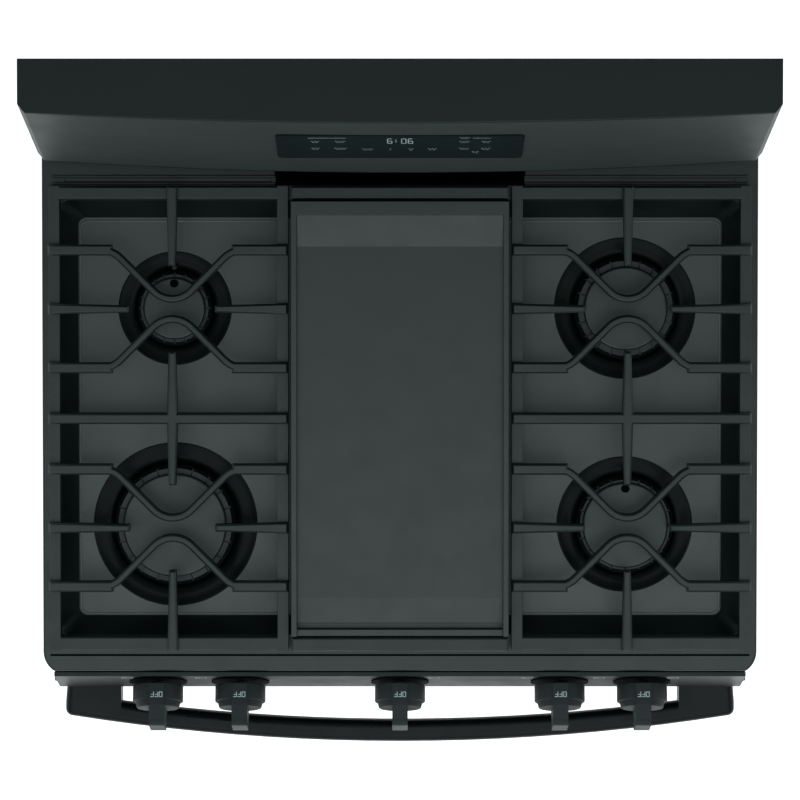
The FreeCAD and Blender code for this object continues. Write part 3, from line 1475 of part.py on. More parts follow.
def make_drawer():
    front_y = ("door_face", "door_face + drawer_front_depth")
    front = box("drawer_front", ("-door_half", "door_half"), front_y,
                ("drawer_front_bottom", "drawer_front_top"))
    hollow = box("drawer_front_hollow", ("-door_half + sheet_metal", "door_half - sheet_metal"),
                 (front_y[0] + " + sheet_metal", front_y[1] + " + 1"),
                 ("drawer_front_bottom + sheet_metal", "drawer_front_top - sheet_metal"))
    front = cut("drawer_front_pan", front, [hollow])
    tray_y = ("door_face + sheet_metal", "door_face + drawer_front_depth + drawer_length")
    outer = box("drawer_tray", ("-drawer_half", "drawer_half"), tray_y, ("drawer_bottom", "drawer_wall_top"))
    room = box("drawer_room", ("-drawer_half + drawer_sheet", "drawer_half - drawer_sheet"),
               (tray_y[0] + " + drawer_sheet", tray_y[1] + " - drawer_sheet"),
               ("drawer_bottom + drawer_sheet", "drawer_wall_top + 1"))
    tray = cut("drawer_box", outer, [room])
    node(fuse("storage_drawer", [front, tray]), "storage_drawer")

    rails = []
    y = ("frame_back", "frame_back + rail_length")
    shelf_top = "drawer_bottom - seat_gap"
    for side, sign in SIDES:
        shelf = box("rail_shelf_" + side, span("drawer_half - rail_shelf_width", "side_inner", sign), y,
                    (shelf_top + " - rail_shelf_thickness", shelf_top))
        guide = box("rail_guide_" + side, span("drawer_half + 1", "drawer_half + 1 + sheet_metal", sign), y,
                    (shelf_top + " - rail_shelf_thickness", shelf_top + " + rail_guide_height"))
        rails.append(fuse("drawer_rail_" + side, [shelf, guide]))
    node(group("drawer_rails", rails), "drawer_rails")


# ---------------------------------------------------------------------------------------------
# Backguard and vent
# ---------------------------------------------------------------------------------------------


def guard_plan(owner, name, level, depth, bow, inset):
    """The backguard's plan at one level: a straight back and a front that bows forward."""
    end_y = "rear_plane - %s + %s" % (depth, inset)
    side = "half_width"
    return outline(owner, name, "XY_Plane", [
        ("-%s + guard_corner_cut" % side, end_y, bow),
        (side + " - guard_corner_cut", end_y),
        (side, end_y + " + guard_corner_run"),
        (side, "rear_plane"),
        ("-" + side, "rear_plane"),
        ("-" + side, end_y + " + guard_corner_run"),
    ], level)


def guard_block(name, inset):
    block = body(name)
    loft(block, name + "_loft", [
        guard_plan(block, name + "_bottom", "guard_bottom", "guard_bottom_depth", "guard_bottom_bow", inset),
        guard_plan(block, name + "_top", "guard_top", "guard_top_depth", "guard_top_bow", inset),
    ])
    return block


def make_backguard():
    front = "rear_plane - 2 * guard_bottom_depth"
    x = ("-half_width + guard_sheet", "half_width - guard_sheet")
    z = ("guard_bottom + guard_sheet", "guard_top - guard_sheet")
    mouth = box("guard_mouth", x, (front, "back_inner"), z)
    slot = box("guard_back_slot", ("-half_width - 1", "half_width + 1"), ("back_inner", "rear_plane + 1"),
               ("guard_bottom - 1", "guard_top - guard_sheet"))
    upper = cut("guard_upper", guard_block("guard_outside", "0"), [mouth, slot])
    neck_x = ("-half_width + guard_neck_inset", "half_width - guard_neck_inset")
    neck_y = ("rear_plane - guard_neck_depth", "back_inner")
    neck = box("guard_neck", neck_x, neck_y, ("deck_height", "guard_bottom"))
    neck_room = box("guard_neck_room", (neck_x[0] + " + guard_sheet", neck_x[1] + " - guard_sheet"),
                    (neck_y[0] + " + guard_sheet", "back_inner + 1"),
                    ("deck_height - 1", "guard_bottom + guard_sheet + 1"))
    shell = cut("guard_shell", fuse("guard_blank", [upper, neck]), [neck_room])
    node(shell, "backguard_shell")

    gap = "seat_gap"
    skin_box = box("face_limits", (x[0] + " + " + gap, x[1] + " - " + gap), (front, "back_inner"),
                   (z[0] + " + " + gap, z[1] + " - " + gap))
    skin = doc.addObject("Part::Common", "face_blank")
    skin.Base = guard_block("face_outside", "0")
    skin.Tool = skin_box
    glass_hole = body("glass_hole")
    fit = "glass_fit"
    pad(glass_hole, rounded(glass_hole, "glass_hole_outline", "XY_Plane",
                            ("-glass_half - " + fit, "glass_half + " + fit),
                            ("-" + fit, "glass_height + " + fit), "glass_corner"),
        "glass_hole_depth", symmetric=True)
    lean(glass_hole, "0", "glass_y", "glass_bottom", "guard_slope")
    node(cut("backguard_face", skin, [guard_block("face_inside", "guard_sheet"), glass_hole]), "backguard_face")

    glass = body("control_glass")
    pad(glass, rounded(glass, "glass_outline", "XY_Plane", ("-glass_half", "glass_half"),
                       ("0", "glass_height"), "glass_corner", "glass_proud - glass_thickness"),
        "glass_thickness")
    lean(glass, "0", "glass_y", "glass_bottom", "guard_slope")
    node(glass, "control_glass")

    board = body("control_board")
    middle = "glass_height / 2"
    pad(board, rounded(board, "board_outline", "XY_Plane", ("-board_half", "board_half"),
                       (middle + " - board_height / 2", middle + " + board_height / 2"), "3", "-board_depth"),
        "board_thickness")
    posts = []
    for across in ("-board_half + 8", "board_half - 8"):
        for up in (middle + " - board_height / 2 + 8", middle + " + board_height / 2 - 8"):
            posts.append((across, up, "board_post_radius"))
    pad(board, circles(board, "board_posts", "XY_Plane", posts, "-board_depth"),
        "board_depth - guard_sheet - 2.2")
    lean(board, "0", "glass_y", "glass_bottom", "guard_slope")
    node(board, "control_board")

    strips = []
    y = ("trim_front", "trim_front + trim_depth")
    base_z = ("deck_height", "deck_height + trim_base")
    rib_z = ("deck_height", "deck_height + trim_rise")
    for side, sign in SIDES:
        x = span("flue_half + flue_clearance", "trim_half", sign)
        base = box("trim_base_" + side, x, y, base_z)
        front_rib = box("trim_front_rib_" + side, x, (y[0], y[0] + " + trim_rib"), rib_z)
        rear_rib = box("trim_rear_rib_" + side, x, (y[1] + " - trim_rib", y[1]), rib_z)
        slot_x = span("flue_half + flue_clearance + 4", "trim_slot_half", sign)
        slot = box("trim_slot_" + side, slot_x, (y[0] + " + trim_rib + 1", y[1] + " - trim_rib - 1"),
                   ("deck_height - 1", "deck_height + trim_rise + 1"))
        strips.append(cut("trim_" + side, fuse("trim_blank_" + side, [base, front_rib, rear_rib]), [slot]))
    node(group("vent_trim", strips), "vent_trim")


# ---------------------------------------------------------------------------------------------
# Assembly
# ---------------------------------------------------------------------------------------------

make_base_frame()
make_legs()
make_side_panels()
make_back_panel()
make_front_frame()
make_oven()
make_rack_guides()
make_oven_rack()
make_oven_fittings()
make_flue()
make_cooktop()
make_burners()
make_electrodes()
make_gas_supply()
make_side_grates()
make_center_grate()
make_griddle()
make_control_panel()
make_knobs()
make_door()
make_handle()
make_drawer()
make_backguard()

doc.recompute()
failed = [item.Name for item in doc.Objects if "Invalid" in item.State or "Error" in item.State]
if failed:
    raise RuntimeError("failed: " + ", ".join(failed))
for item in NODES:
    if item.Shape.isNull() or not item.Shape.isValid():
        raise RuntimeError(item.Label + " has no valid shape")
for item in NODES:
    item.Shape.exportStep("parts/%s.step" % item.Label)
    print(item.Label, len(item.Shape.Solids), round(item.Shape.Volume / 1000, 1))
print(len(NODES), "pieces")
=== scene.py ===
"""Freestanding gas range with five burners and a griddle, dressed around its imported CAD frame."""
import math

import bmesh
import bpy
from mathutils import Matrix, Vector


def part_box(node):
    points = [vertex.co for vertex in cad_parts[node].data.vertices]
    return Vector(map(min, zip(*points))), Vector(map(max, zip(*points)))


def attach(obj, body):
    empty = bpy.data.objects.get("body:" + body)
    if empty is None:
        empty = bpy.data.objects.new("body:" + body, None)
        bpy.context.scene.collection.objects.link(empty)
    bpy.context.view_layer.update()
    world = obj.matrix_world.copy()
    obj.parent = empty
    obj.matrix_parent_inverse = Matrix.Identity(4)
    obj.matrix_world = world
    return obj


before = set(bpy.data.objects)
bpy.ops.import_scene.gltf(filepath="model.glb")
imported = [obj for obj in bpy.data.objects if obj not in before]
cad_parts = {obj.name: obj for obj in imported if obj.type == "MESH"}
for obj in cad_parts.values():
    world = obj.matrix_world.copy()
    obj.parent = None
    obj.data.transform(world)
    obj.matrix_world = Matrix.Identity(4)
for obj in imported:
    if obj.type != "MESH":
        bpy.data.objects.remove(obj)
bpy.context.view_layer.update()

scene = bpy.context.scene
MM = 0.001
RIGHT = Vector((1.0, 0.0, 0.0))
BACK = Vector((0.0, 1.0, 0.0))

# Levels of the cooktop, from the top of the burner heads down.
HEAD_HEIGHT = 13.5
DISH_DEPTH = 1.5
DISH_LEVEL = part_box("burner_heads")[1].z - HEAD_HEIGHT * MM
WELL_LEVEL = DISH_LEVEL + DISH_DEPTH * MM
DECK_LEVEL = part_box("cooktop")[1].z


# ---------------------------------------------------------------------------------------------
# Materials
# ---------------------------------------------------------------------------------------------


def linear(red, green, blue):
    """An sRGB colour from 0 to 255 as linear RGBA."""
    def one(value):
        value /= 255
        return value / 12.92 if value <= 0.04045 else ((value + 0.055) / 1.055) ** 2.4
    return (one(red), one(green), one(blue), 1.0)


FLECK_LIFT = 8
GLOSS_SPREAD = 0.04


class Finish:
    """A procedural material, with short calls for the nodes that most finishes share."""

    def __init__(self, name):
        self.material = bpy.data.materials.new(name)
        self.material.use_nodes = True
        self.tree = self.material.node_tree
        self.shader = self.tree.nodes["Principled BSDF"]
        self.where = self.add("ShaderNodeTexCoord").outputs["Object"]

    def add(self, kind, **values):
        item = self.tree.nodes.new(kind)
        for key, value in values.items():
            setattr(item, key, value)
        return item

    def link(self, start, end):
        self.tree.links.new(start, end)

    def set(self, **values):
        for key, value in values.items():
            self.shader.inputs[key.replace("_", " ")].default_value = value
        return self

    def noise(self, scale, detail=3.0, rough=0.55, where=None):
        item = self.add("ShaderNodeTexNoise")
        item.inputs["Scale"].default_value = scale
        item.inputs["Detail"].default_value = detail
        item.inputs["Roughness"].default_value = rough
        self.link(where or self.where, item.inputs["Vector"])
        return item.outputs["Fac"]

    def spread(self, source, low, high, start=0.3, end=0.7):
        item = self.add("ShaderNodeMapRange")
        item.inputs["From Min"].default_value = start
        item.inputs["From Max"].default_value = end
        item.inputs["To Min"].default_value = low
        item.inputs["To Max"].default_value = high
        self.link(source, item.inputs["Value"])
        return item.outputs["Result"]

    def along(self, axis, start, end, low, high):
        """A value that changes steadily between two places on one axis."""
        apart = self.add("ShaderNodeSeparateXYZ")
        self.link(self.where, apart.inputs["Vector"])
        return self.spread(apart.outputs[axis], low, high, start, end)

    def mixed(self, share, first, second):
        item = self.add("ShaderNodeMix", data_type="RGBA")
        self.link(share, item.inputs["Factor"])
        for socket, value in ((item.inputs[6], first), (item.inputs[7], second)):
            if isinstance(value, tuple):
                socket.default_value = value
            else:
                self.link(value, socket)
        return item.outputs[2]

    def colour(self, source):
        self.link(source, self.shader.inputs["Base Color"])
        return self

    def clouded(self, scale, dark, light, detail=3.0):
        """Colours the surface in soft patches between two sRGB colours."""
        share = self.spread(self.noise(scale, detail), 0.0, 1.0)
        return self.colour(self.mixed(share, linear(*dark), linear(*light)))

    def rough(self, source):
        self.link(source, self.shader.inputs["Roughness"])
        return self

    def bump(self, source, strength, distance):
        item = self.add("ShaderNodeBump")
        item.inputs["Strength"].default_value = strength
        item.inputs["Distance"].default_value = distance
        self.link(source, item.inputs["Height"])
        last = self.shader.inputs["Normal"]
        if last.is_linked:
            self.link(last.links[0].from_socket, item.inputs["Normal"])
        self.link(item.outputs["Normal"], last)
        return self


def slate(name, body, light, gloss, specular=0.5, grain=0.04, grain_scale=900.0, cloud_scale=5.0):
    """A dark satin coating: slow clouds in its colour and gloss, and a fine grain across reflections."""
    made = Finish(name)
    cloud = made.spread(made.noise(cloud_scale), 0.0, 1.0)
    speck = made.noise(grain_scale, 2.0)
    tone = made.mixed(cloud, linear(*body), linear(*light))
    fleck = linear(*(channel + FLECK_LIFT for channel in light))
    made.colour(made.mixed(made.spread(speck, 0.0, 0.35, 0.55, 0.75), tone, fleck))
    gloss_cloud = made.noise(cloud_scale * 6, 3.0)
    made.rough(made.spread(gloss_cloud, gloss - GLOSS_SPREAD, gloss + GLOSS_SPREAD))
    if grain:
        made.bump(speck, grain, 0.0004)
    return made.set(Specular_IOR_Level=specular)


def slate_metal():
    return slate("slate_metal", (9, 20, 20), (13, 24, 24), 0.36, 0.52)


def cooktop_metal():
    """The cooktop's coating, with painted light on the floor of the well: paler there than on the deck and
    the slopes, to lift the shade that the walls and grates cast.
    """
    made = slate("cooktop_metal", (9, 20, 20), (13, 24, 24), 0.36, 0.54)
    deck = made.shader.inputs["Base Color"].links[0].from_socket
    # Painted light: the floor of the well takes a paler colour than the deck.
    above_lit_floor = made.along("Z", WELL_LEVEL, WELL_LEVEL + MM, 0.0, 1.0)
    return made.colour(made.mixed(above_lit_floor, linear(67, 71, 71), deck))


def guard_cap_painted_shade():
    """The backguard's top and ends: a darker copy of the slate, painted shade for the dimmer light they take
    than the face.
    """
    return slate("guard_cap_painted_shade", (9, 16, 16), (12, 20, 20), 0.42, 0.32)


def guard_face():
    """The backguard's face: a paler, duller copy of the slate, painted light for the light from the front
    that falls on it.
    """
    return slate("guard_face", (60, 65, 65), (65, 70, 70), 0.5, 0.14)


# A pale copy of the slate: a painted highlight for the bead round the well floor.
def bead_metal():
    return slate("bead_metal", (84, 92, 92), (94, 102, 102), 0.4, 0.8)


# A near-black with almost no reflection, used as painted shade: on the real knob bezels for the shadow at
# each knob's base, inside the flue duct, and on the dark marks for openings, gaps and shadow lines.
def painted_shade_black():
    return slate("painted_shade_black", (2, 5, 5), (4, 8, 8), 0.6, 0.02)


def panel_metal():
    return slate("panel_metal", (13, 21, 22), (17, 26, 27), 0.42, 0.26)


def side_paint():
    return slate("side_paint", (14, 20, 21), (20, 26, 27), 0.55, 0.4, 0.3, 700.0)


# Darker and less glossy than the cooktop: partly the dishes' own dark porcelain, partly painted shade.
def bowl_enamel():
    return slate("bowl_enamel", (2, 9, 8), (4, 12, 10), 0.28, 0.1, 0.03)


# Print for the key legends and burner symbols; its faint emission is painted light, a glow that print doesn't
# have.
def ink():
    made = Finish("ink")
    made.clouded(400.0, (120, 130, 131), (150, 160, 161))
    return made.set(Roughness=0.6, Emission_Color=(0.8, 0.9, 0.9, 1.0), Emission_Strength=0.05)


# Lit digits of the clock display; the same finish on the knobs' OFF letters is painted light, a glow that
# print doesn't have.
def display():
    made = Finish("display")
    made.clouded(300.0, (130, 148, 150), (166, 184, 186))
    return made.set(Roughness=0.5, Emission_Color=(0.75, 0.92, 0.95, 1.0), Emission_Strength=0.12)


def plain_steel(name, dark, light, roughness):
    made = Finish(name)
    made.clouded(26.0, dark, light, 4.0)
    made.rough(made.spread(made.noise(60.0), roughness - 0.08, roughness + 0.08))
    made.bump(made.noise(500.0), 0.04, 0.0003)
    return made.set(Metallic=1.0)


def galvanised_steel():
    made = Finish("galvanised_steel")
    cell = made.add("ShaderNodeTexVoronoi", feature="F1")
    cell.inputs["Scale"].default_value = 70.0
    made.link(made.where, cell.inputs["Vector"])
    bright = made.add("ShaderNodeSeparateColor")
    made.link(cell.outputs["Color"], bright.inputs["Color"])
    spangle = bright.outputs["Red"]
    made.colour(made.mixed(spangle, linear(126, 130, 133), linear(164, 167, 169)))
    made.rough(made.spread(spangle, 0.38, 0.55, 0.0, 1.0))
    made.bump(made.noise(300.0), 0.05, 0.0003)
    return made.set(Metallic=1.0)


def oven_enamel():
    made = Finish("oven_enamel")
    fleck = made.add("ShaderNodeTexVoronoi", feature="DISTANCE_TO_EDGE")
    fleck.inputs["Scale"].default_value = 900.0
    made.link(made.where, fleck.inputs["Vector"])
    share = made.spread(fleck.outputs["Distance"], 0.0, 1.0, 0.30, 0.42)
    made.colour(made.mixed(share, linear(18, 20, 24), linear(86, 92, 104)))
    made.rough(made.spread(made.noise(40.0), 0.16, 0.26))
    return made


def chrome_wire():
    return plain_steel("chrome_wire", (170, 172, 174), (205, 207, 208), 0.2)


def cast_iron():
    return slate("cast_iron", (10, 18, 18), (14, 23, 23), 0.44, 0.55, 0.35, 520.0)


def griddle_coating():
    return slate("griddle_coating", (10, 19, 19), (14, 23, 23), 0.42, 0.66, 0.1, 1100.0)


def cap_enamel():
    return slate("cap_enamel", (12, 20, 20), (16, 25, 25), 0.4, 0.66, 0.12, 600.0)


def cast_aluminium():
    made = slate("cast_aluminium", (14, 22, 22), (20, 28, 28), 0.42, 0.5, 0.25, 420.0)
    return made.set(Metallic=0.1)


def brass():
    return plain_steel("brass", (150, 118, 60), (184, 150, 84), 0.3)


def spindle_steel():
    return plain_steel("spindle_steel", (122, 124, 126), (150, 152, 154), 0.3)


def knob_metal():
    return slate("knob_metal", (44, 48, 49), (50, 54, 55), 0.5, 0.1, 0.04, 1200.0)


def leg_steel():
    return plain_steel("leg_steel", (110, 112, 113), (138, 140, 141), 0.4)


def handle_metal():
    return slate("handle_metal", (8, 11, 12), (12, 15, 16), 0.4, 0.2, 0.03, 1400.0)


def door_glass():
    made = Finish("door_glass")
    made.clouded(3.0, (10, 11, 13), (15, 16, 18))
    made.rough(made.spread(made.noise(20.0), 0.04, 0.09))
    return made.set(Coat_Weight=0.5, Coat_Roughness=0.03)


def control_glass():
    return slate("control_glass", (20, 29, 30), (24, 33, 34), 0.4, 0.1, 0.0)


def lamp_glass():
    made = Finish("lamp_glass")
    made.clouded(60.0, (215, 212, 200), (235, 232, 222))
    made.rough(made.spread(made.noise(90.0), 0.08, 0.16))
    return made.set(Transmission_Weight=0.7)


def ceramic():
    return slate("ceramic", (20, 22, 20), (28, 30, 28), 0.4, 0.3)


def circuit_board():
    return slate("circuit_board", (18, 62, 34), (26, 78, 44), 0.4, 0.4, 0.1, 800.0, 60.0)


def gasket():
    made = Finish("gasket")
    weave = made.add("ShaderNodeTexWave", bands_direction="DIAGONAL")
    weave.inputs["Scale"].default_value = 260.0
    made.link(made.where, weave.inputs["Vector"])
    made.colour(made.mixed(weave.outputs["Fac"], linear(62, 62, 60), linear(96, 96, 92)))
    made.bump(weave.outputs["Fac"], 0.5, 0.0008)
    return made.set(Roughness=0.9)


def insulation():
    made = Finish("insulation")
    tuft = made.noise(90.0, 6.0, 0.7)
    made.colour(made.mixed(made.spread(tuft, 0.0, 1.0), linear(196, 182, 140), linear(226, 214, 176)))
    made.bump(tuft, 0.7, 0.003)
    return made.set(Roughness=0.95)


FINISHES = {make.__name__: make().material for make in (
    slate_metal, side_paint, galvanised_steel, oven_enamel, chrome_wire, cast_iron, griddle_coating,
    cap_enamel, cast_aluminium, brass, spindle_steel, knob_metal, leg_steel, handle_metal, door_glass,
    control_glass, lamp_glass, ceramic, circuit_board, gasket, insulation, cooktop_metal, guard_cap_painted_shade,
    guard_face, bead_metal, painted_shade_black, panel_metal, bowl_enamel, ink, display,
)}

# The nodes of each material slot, and the starts of names that share one.
SLOT_NODES = {
    "slate_metal": ("cooktop", "control_panel", "door_panel", "storage_drawer", "backguard_shell",
                    "backguard_face", "vent_trim"),
    "side_paint": ("side_panel_left", "side_panel_right"),
    "galvanised_steel": ("back_panel", "base_frame", "drawer_rails", "door_hinges", "gas_manifold"),
    "oven_enamel": ("flue_duct", "front_frame", "oven_liner", "oven_floor", "door_liner"),
    "chrome_wire": ("oven_rack", "rack_guides"),
    "cast_iron": ("grate_left", "grate_right", "center_grate"),
    "griddle_coating": ("griddle",),
    "cast_aluminium": ("burner_heads", "burner_tubes", "gas_regulator"),
    "brass": ("burner_valves",),
    "spindle_steel": ("oven_sensor", "bake_burner", "broil_burner"),
    "black_plastic": ("knob_bezels",),
    "handle_metal": ("door_handle",),
    "door_glass": ("door_glass",),
    "control_glass": ("control_glass",),
    "lamp_glass": ("oven_lamp",),
    "ceramic": ("spark_electrodes",),
    "circuit_board": ("control_board",),
    "gasket": ("door_gasket",),
    "insulation": ("insulation_blanket",),
}
SLOT_PREFIXES = {
    "burner_cap_": "cap_enamel", "valve_spindle_": "spindle_steel", "knob_left": "knob_metal",
    "knob_right": "knob_metal", "knob_middle": "knob_metal", "leveling_leg_": "leg_steel",
}


def slot_of(name):
    for slot, names in SLOT_NODES.items():
        if name in names:
            return slot
    return next(slot for prefix, slot in SLOT_PREFIXES.items() if name.startswith(prefix))


def dress(piece, slot, finish=None):
    piece.data.materials.clear()
    piece.data.materials.append(FINISHES[finish or slot])


# Nodes whose finish is a variant of their slot's; the cooktop's, the backguard's and the near-black one carry
# painted light or shade.
OWN_FINISH = {
    "cooktop": "cooktop_metal", "backguard_shell": "guard_cap_painted_shade", "backguard_face": "guard_face",
    "control_panel": "panel_metal", "knob_bezels": "painted_shade_black", "flue_duct": "painted_shade_black",
}
for node_name, node_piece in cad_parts.items():
    dress(node_piece, slot_of(node_name), OWN_FINISH.get(node_name))


# ---------------------------------------------------------------------------------------------
# Softened edges
# ---------------------------------------------------------------------------------------------

KNOB_NAMES = ("left_outer", "left_inner", "middle", "right_inner", "right_outer")
EDGE_RADII = {
    "cooktop": 1.2, "control_panel": 1.0, "backguard_shell": 1.2, "grate_left": 0.9, "grate_right": 0.9,
    "center_grate": 0.9, "griddle": 1.0, "door_panel": 1.0, "storage_drawer": 1.0, "vent_trim": 0.5,
}
EDGE_RADII.update(("knob_" + knob, 1.0) for knob in KNOB_NAMES)
WELD_REACH = 0.02
SHARP_ANGLE = 32


def soften(node, radius):
    """Rounds the sharp edges of a CAD piece by a radius in millimetres."""
    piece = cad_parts[node]
    weld = piece.modifiers.new("weld", "WELD")
    weld.merge_threshold = WELD_REACH * MM
    round_edge = piece.modifiers.new("edge", "BEVEL")
    round_edge.width = radius * MM
    round_edge.segments = 2
    round_edge.limit_method = "ANGLE"
    round_edge.angle_limit = math.radians(SHARP_ANGLE)
    round_edge.harden_normals = True


for edge_node, edge_radius in EDGE_RADII.items():
    soften(edge_node, edge_radius)


# ---------------------------------------------------------------------------------------------
# Pieces that the CAD leaves to the finish
# ---------------------------------------------------------------------------------------------


def piece_from(name, corners, faces, slot, body, finish=None, smooth=True):
    mesh = bpy.data.meshes.new(name)
    mesh.from_pydata(corners, [], faces)
    mesh.validate()
    mesh.polygons.foreach_set("use_smooth", [smooth] * len(mesh.polygons))
    piece = bpy.data.objects.new(name, mesh)
    scene.collection.objects.link(piece)
    mesh.materials.append(FINISHES[finish or slot])
    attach(piece, body)
    return piece


def stitched(rings):
    """Corners and faces of a closed tube through equal rings of points, its end joined to its start."""
    size = len(rings[0])
    corners = [tuple(point) for ring in rings for point in ring]
    faces = []
    for index in range(len(rings)):
        here, there = index * size, (index + 1) % len(rings) * size
        for step in range(size):
            after = (step + 1) % size
            faces.append((here + step, there + step, there + after, here + after))
    return corners, faces


# How far the flat marks stand off their surface: the underside, most tops, and the lit or pale ones.
MARK_GAP = 0.02
MARK_TOP = 0.1
BRIGHT_MARK_TOP = 0.12


def slab(name, outlines, origin, across, up, top, slot, body, finish):
    """Thin flat marks on a surface: outlines of (across, up) points in millimetres about an origin."""
    corners, faces = [], []
    out = across.cross(up)
    for shape in outlines:
        first = len(corners)
        count = len(shape)
        for level in (MARK_GAP, top):
            for x, y in shape:
                corners.append(tuple(origin + (across * x + up * y + out * level) * MM))
        faces.append(tuple(range(first + count, first + 2 * count)))
        for index in range(count):
            after = (index + 1) % count
            faces.append((first + index, first + after, first + count + after, first + count + index))
    return piece_from(name, corners, faces, slot, body, finish, smooth=False)


def pill(x, y, width, height, steps=5):
    """The outline of a bar with round ends, about its middle."""
    radius = min(width, height) / 2
    points = []
    for side_x, side_y, start in ((1, -1, -90), (1, 1, 0), (-1, 1, 90), (-1, -1, 180)):
        for step in range(steps):
            angle = math.radians(start + 90 * step / (steps - 1))
            points.append((x + side_x * (width / 2 - radius) + radius * math.cos(angle),
                           y + side_y * (height / 2 - radius) + radius * math.sin(angle)))
    return points


# Burner bowls: the radius of each dish and of the head in it.
BOWL_RADII = {
    "rear_left": (59.0, 40.0), "front_left": (86.0, 64.5),
    "rear_right": (74.0, 54.5), "front_right": (71.0, 52.0),
}
BOWL_LIFT = 0.15
BOWL_STEPS = 96
# A bowl's section: distances outward from the head's edge or the dish's rim, and heights.
BOWL_SECTION = (
    ("head", -3.5, 0.0), ("rim", -9.0, 0.0), ("rim", -3.0, 0.5), ("rim", -0.4, 1.5), ("rim", 0.6, 1.75),
    ("rim", 1.6, 1.5), ("rim", -0.6, 1.0), ("rim", -3.2, 0.2), ("rim", -9.0, -0.1), ("head", -3.5, -0.1),
)


def make_bowl(burner):
    """The recess round a burner head, with a thin raised rim where it meets the well floor; it is dark
    porcelain, made near-black with little reflection as painted shade.
    """
    rim, head = BOWL_RADII[burner]
    start = {"rim": rim, "head": head}
    cap_low, cap_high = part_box("burner_cap_" + burner)
    centre = (cap_low + cap_high) / 2
    rings = []
    for step in range(BOWL_STEPS):
        angle = 2 * math.pi * step / BOWL_STEPS
        ring = []
        for edge, reach, lift in BOWL_SECTION:
            radius = (start[edge] + reach) * MM
            height = DISH_LEVEL + (BOWL_LIFT + lift) * MM
            ring.append((centre.x + radius * math.cos(angle), centre.y + radius * math.sin(angle), height))
        rings.append(ring)
    piece_from("burner_bowl_" + burner, *stitched(rings), "oven_enamel", "cabinet", "bowl_enamel")


IGNITER_WIDTH = 9.5
IGNITER_LENGTH = 8.5
IGNITER_INSET = 6.5


def make_igniter_mark(burner):
    """A black sheet at the rear edge of a cap, over the igniter: painted shade for the opening there."""
    low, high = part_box("burner_cap_" + burner)
    centre = (low + high) / 2
    reach = (high.y - low.y) / 2 / MM - IGNITER_INSET
    shape = pill(0.0, reach, IGNITER_WIDTH, IGNITER_LENGTH)
    slab("igniter_opening_" + burner, [shape], Vector((centre.x, centre.y, high.z)), RIGHT, BACK, MARK_TOP,
         "cap_enamel", "cap_" + burner, "painted_shade_black")


# Control glass: a thin sheet on the leaning face of the backguard.
GUARD_SET_BACK = 45.5
GUARD_FACE_HEIGHT = 210.0
GUARD_LEAN = math.atan2(GUARD_SET_BACK, GUARD_FACE_HEIGHT)
GLASS_UP = Vector((0.0, math.sin(GUARD_LEAN), math.cos(GUARD_LEAN)))
GLASS_THICKNESS = 4.0


def glass_corner():
    """The middle of the control glass's lower front edge."""
    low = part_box("control_glass")[0]
    return Vector((0.0, low.y, low.z + GLASS_THICKNESS * MM * math.sin(GUARD_LEAN)))


# The bars of a seven-segment digit, from (x, y) to (x, y) as shares of its width and height.
SEGMENTS = {
    "a": (0, 1, 1, 1), "b": (1, 0.5, 1, 1), "c": (1, 0, 1, 0.5), "d": (0, 0, 1, 0),
    "e": (0, 0, 0, 0.5), "f": (0, 0.5, 0, 1), "g": (0, 0.5, 1, 0.5),
}
DIGIT_BARS = {"6": "acdefg", "0": "abcdef"}
CLOCK_DIGITS = (("6", -12.6), ("0", 1.6), ("6", 8.4))
DIGIT_WIDTH = 4.4
DIGIT_HEIGHT = 19.0
DIGIT_BAR = 0.95
CLOCK_LEVEL = 63.0
COLON_X = -4.2
COLON_LEVELS = (70.0, 77.0)


def make_clock():
    """Three lit digits of a seven-segment display, with a colon after the first."""
    shapes = []
    for digit, left in CLOCK_DIGITS:
        for bar in DIGIT_BARS[digit]:
            x0, y0, x1, y1 = SEGMENTS[bar]
            x = left + DIGIT_WIDTH * (x0 + x1) / 2
            y = CLOCK_LEVEL + DIGIT_HEIGHT * (y0 + y1) / 2
            if x0 == x1:
                shapes.append(pill(x, y, DIGIT_BAR, DIGIT_HEIGHT / 2 - DIGIT_BAR))
            else:
                shapes.append(pill(x, y, DIGIT_WIDTH - DIGIT_BAR * 0.3, DIGIT_BAR * 1.9))
    for y in COLON_LEVELS:
        shapes.append(pill(COLON_X, y, 1.5, 2.4))
    slab("clock_digits", shapes, glass_corner(), RIGHT, GLASS_UP, BRIGHT_MARK_TOP,
         "control_glass", "cabinet", "display")


# Key legends: the middle across, the height up the glass, and the width.
LEGENDS = (
    (-73.6, 85.0, 39.0), (-86.0, 69.0, 9.5), (-60.5, 69.0, 11.5), (-86.0, 40.0, 9.5), (-60.5, 40.0, 14.0),
    (-32.8, 37.0, 12.5), (-9.8, 38.0, 2.6), (11.0, 37.0, 6.0), (32.8, 38.0, 10.5), (65.2, 85.0, 11.5),
    (82.6, 85.0, 19.0), (65.2, 69.0, 11.5), (87.0, 69.0, 10.0), (65.2, 40.0, 11.5), (87.0, 40.0, 11.0),
    (76.8, 26.0, 8.0),
)
HEADING_WIDTH = 18
HEADING_LINE = 1.1
LEGEND_ROWS = ((2.4, 1.0), (-2.4, 0.72))
DASH_PITCH = 3.2
DASH_SHARE = 0.66
DASH_HEIGHT = 1.5


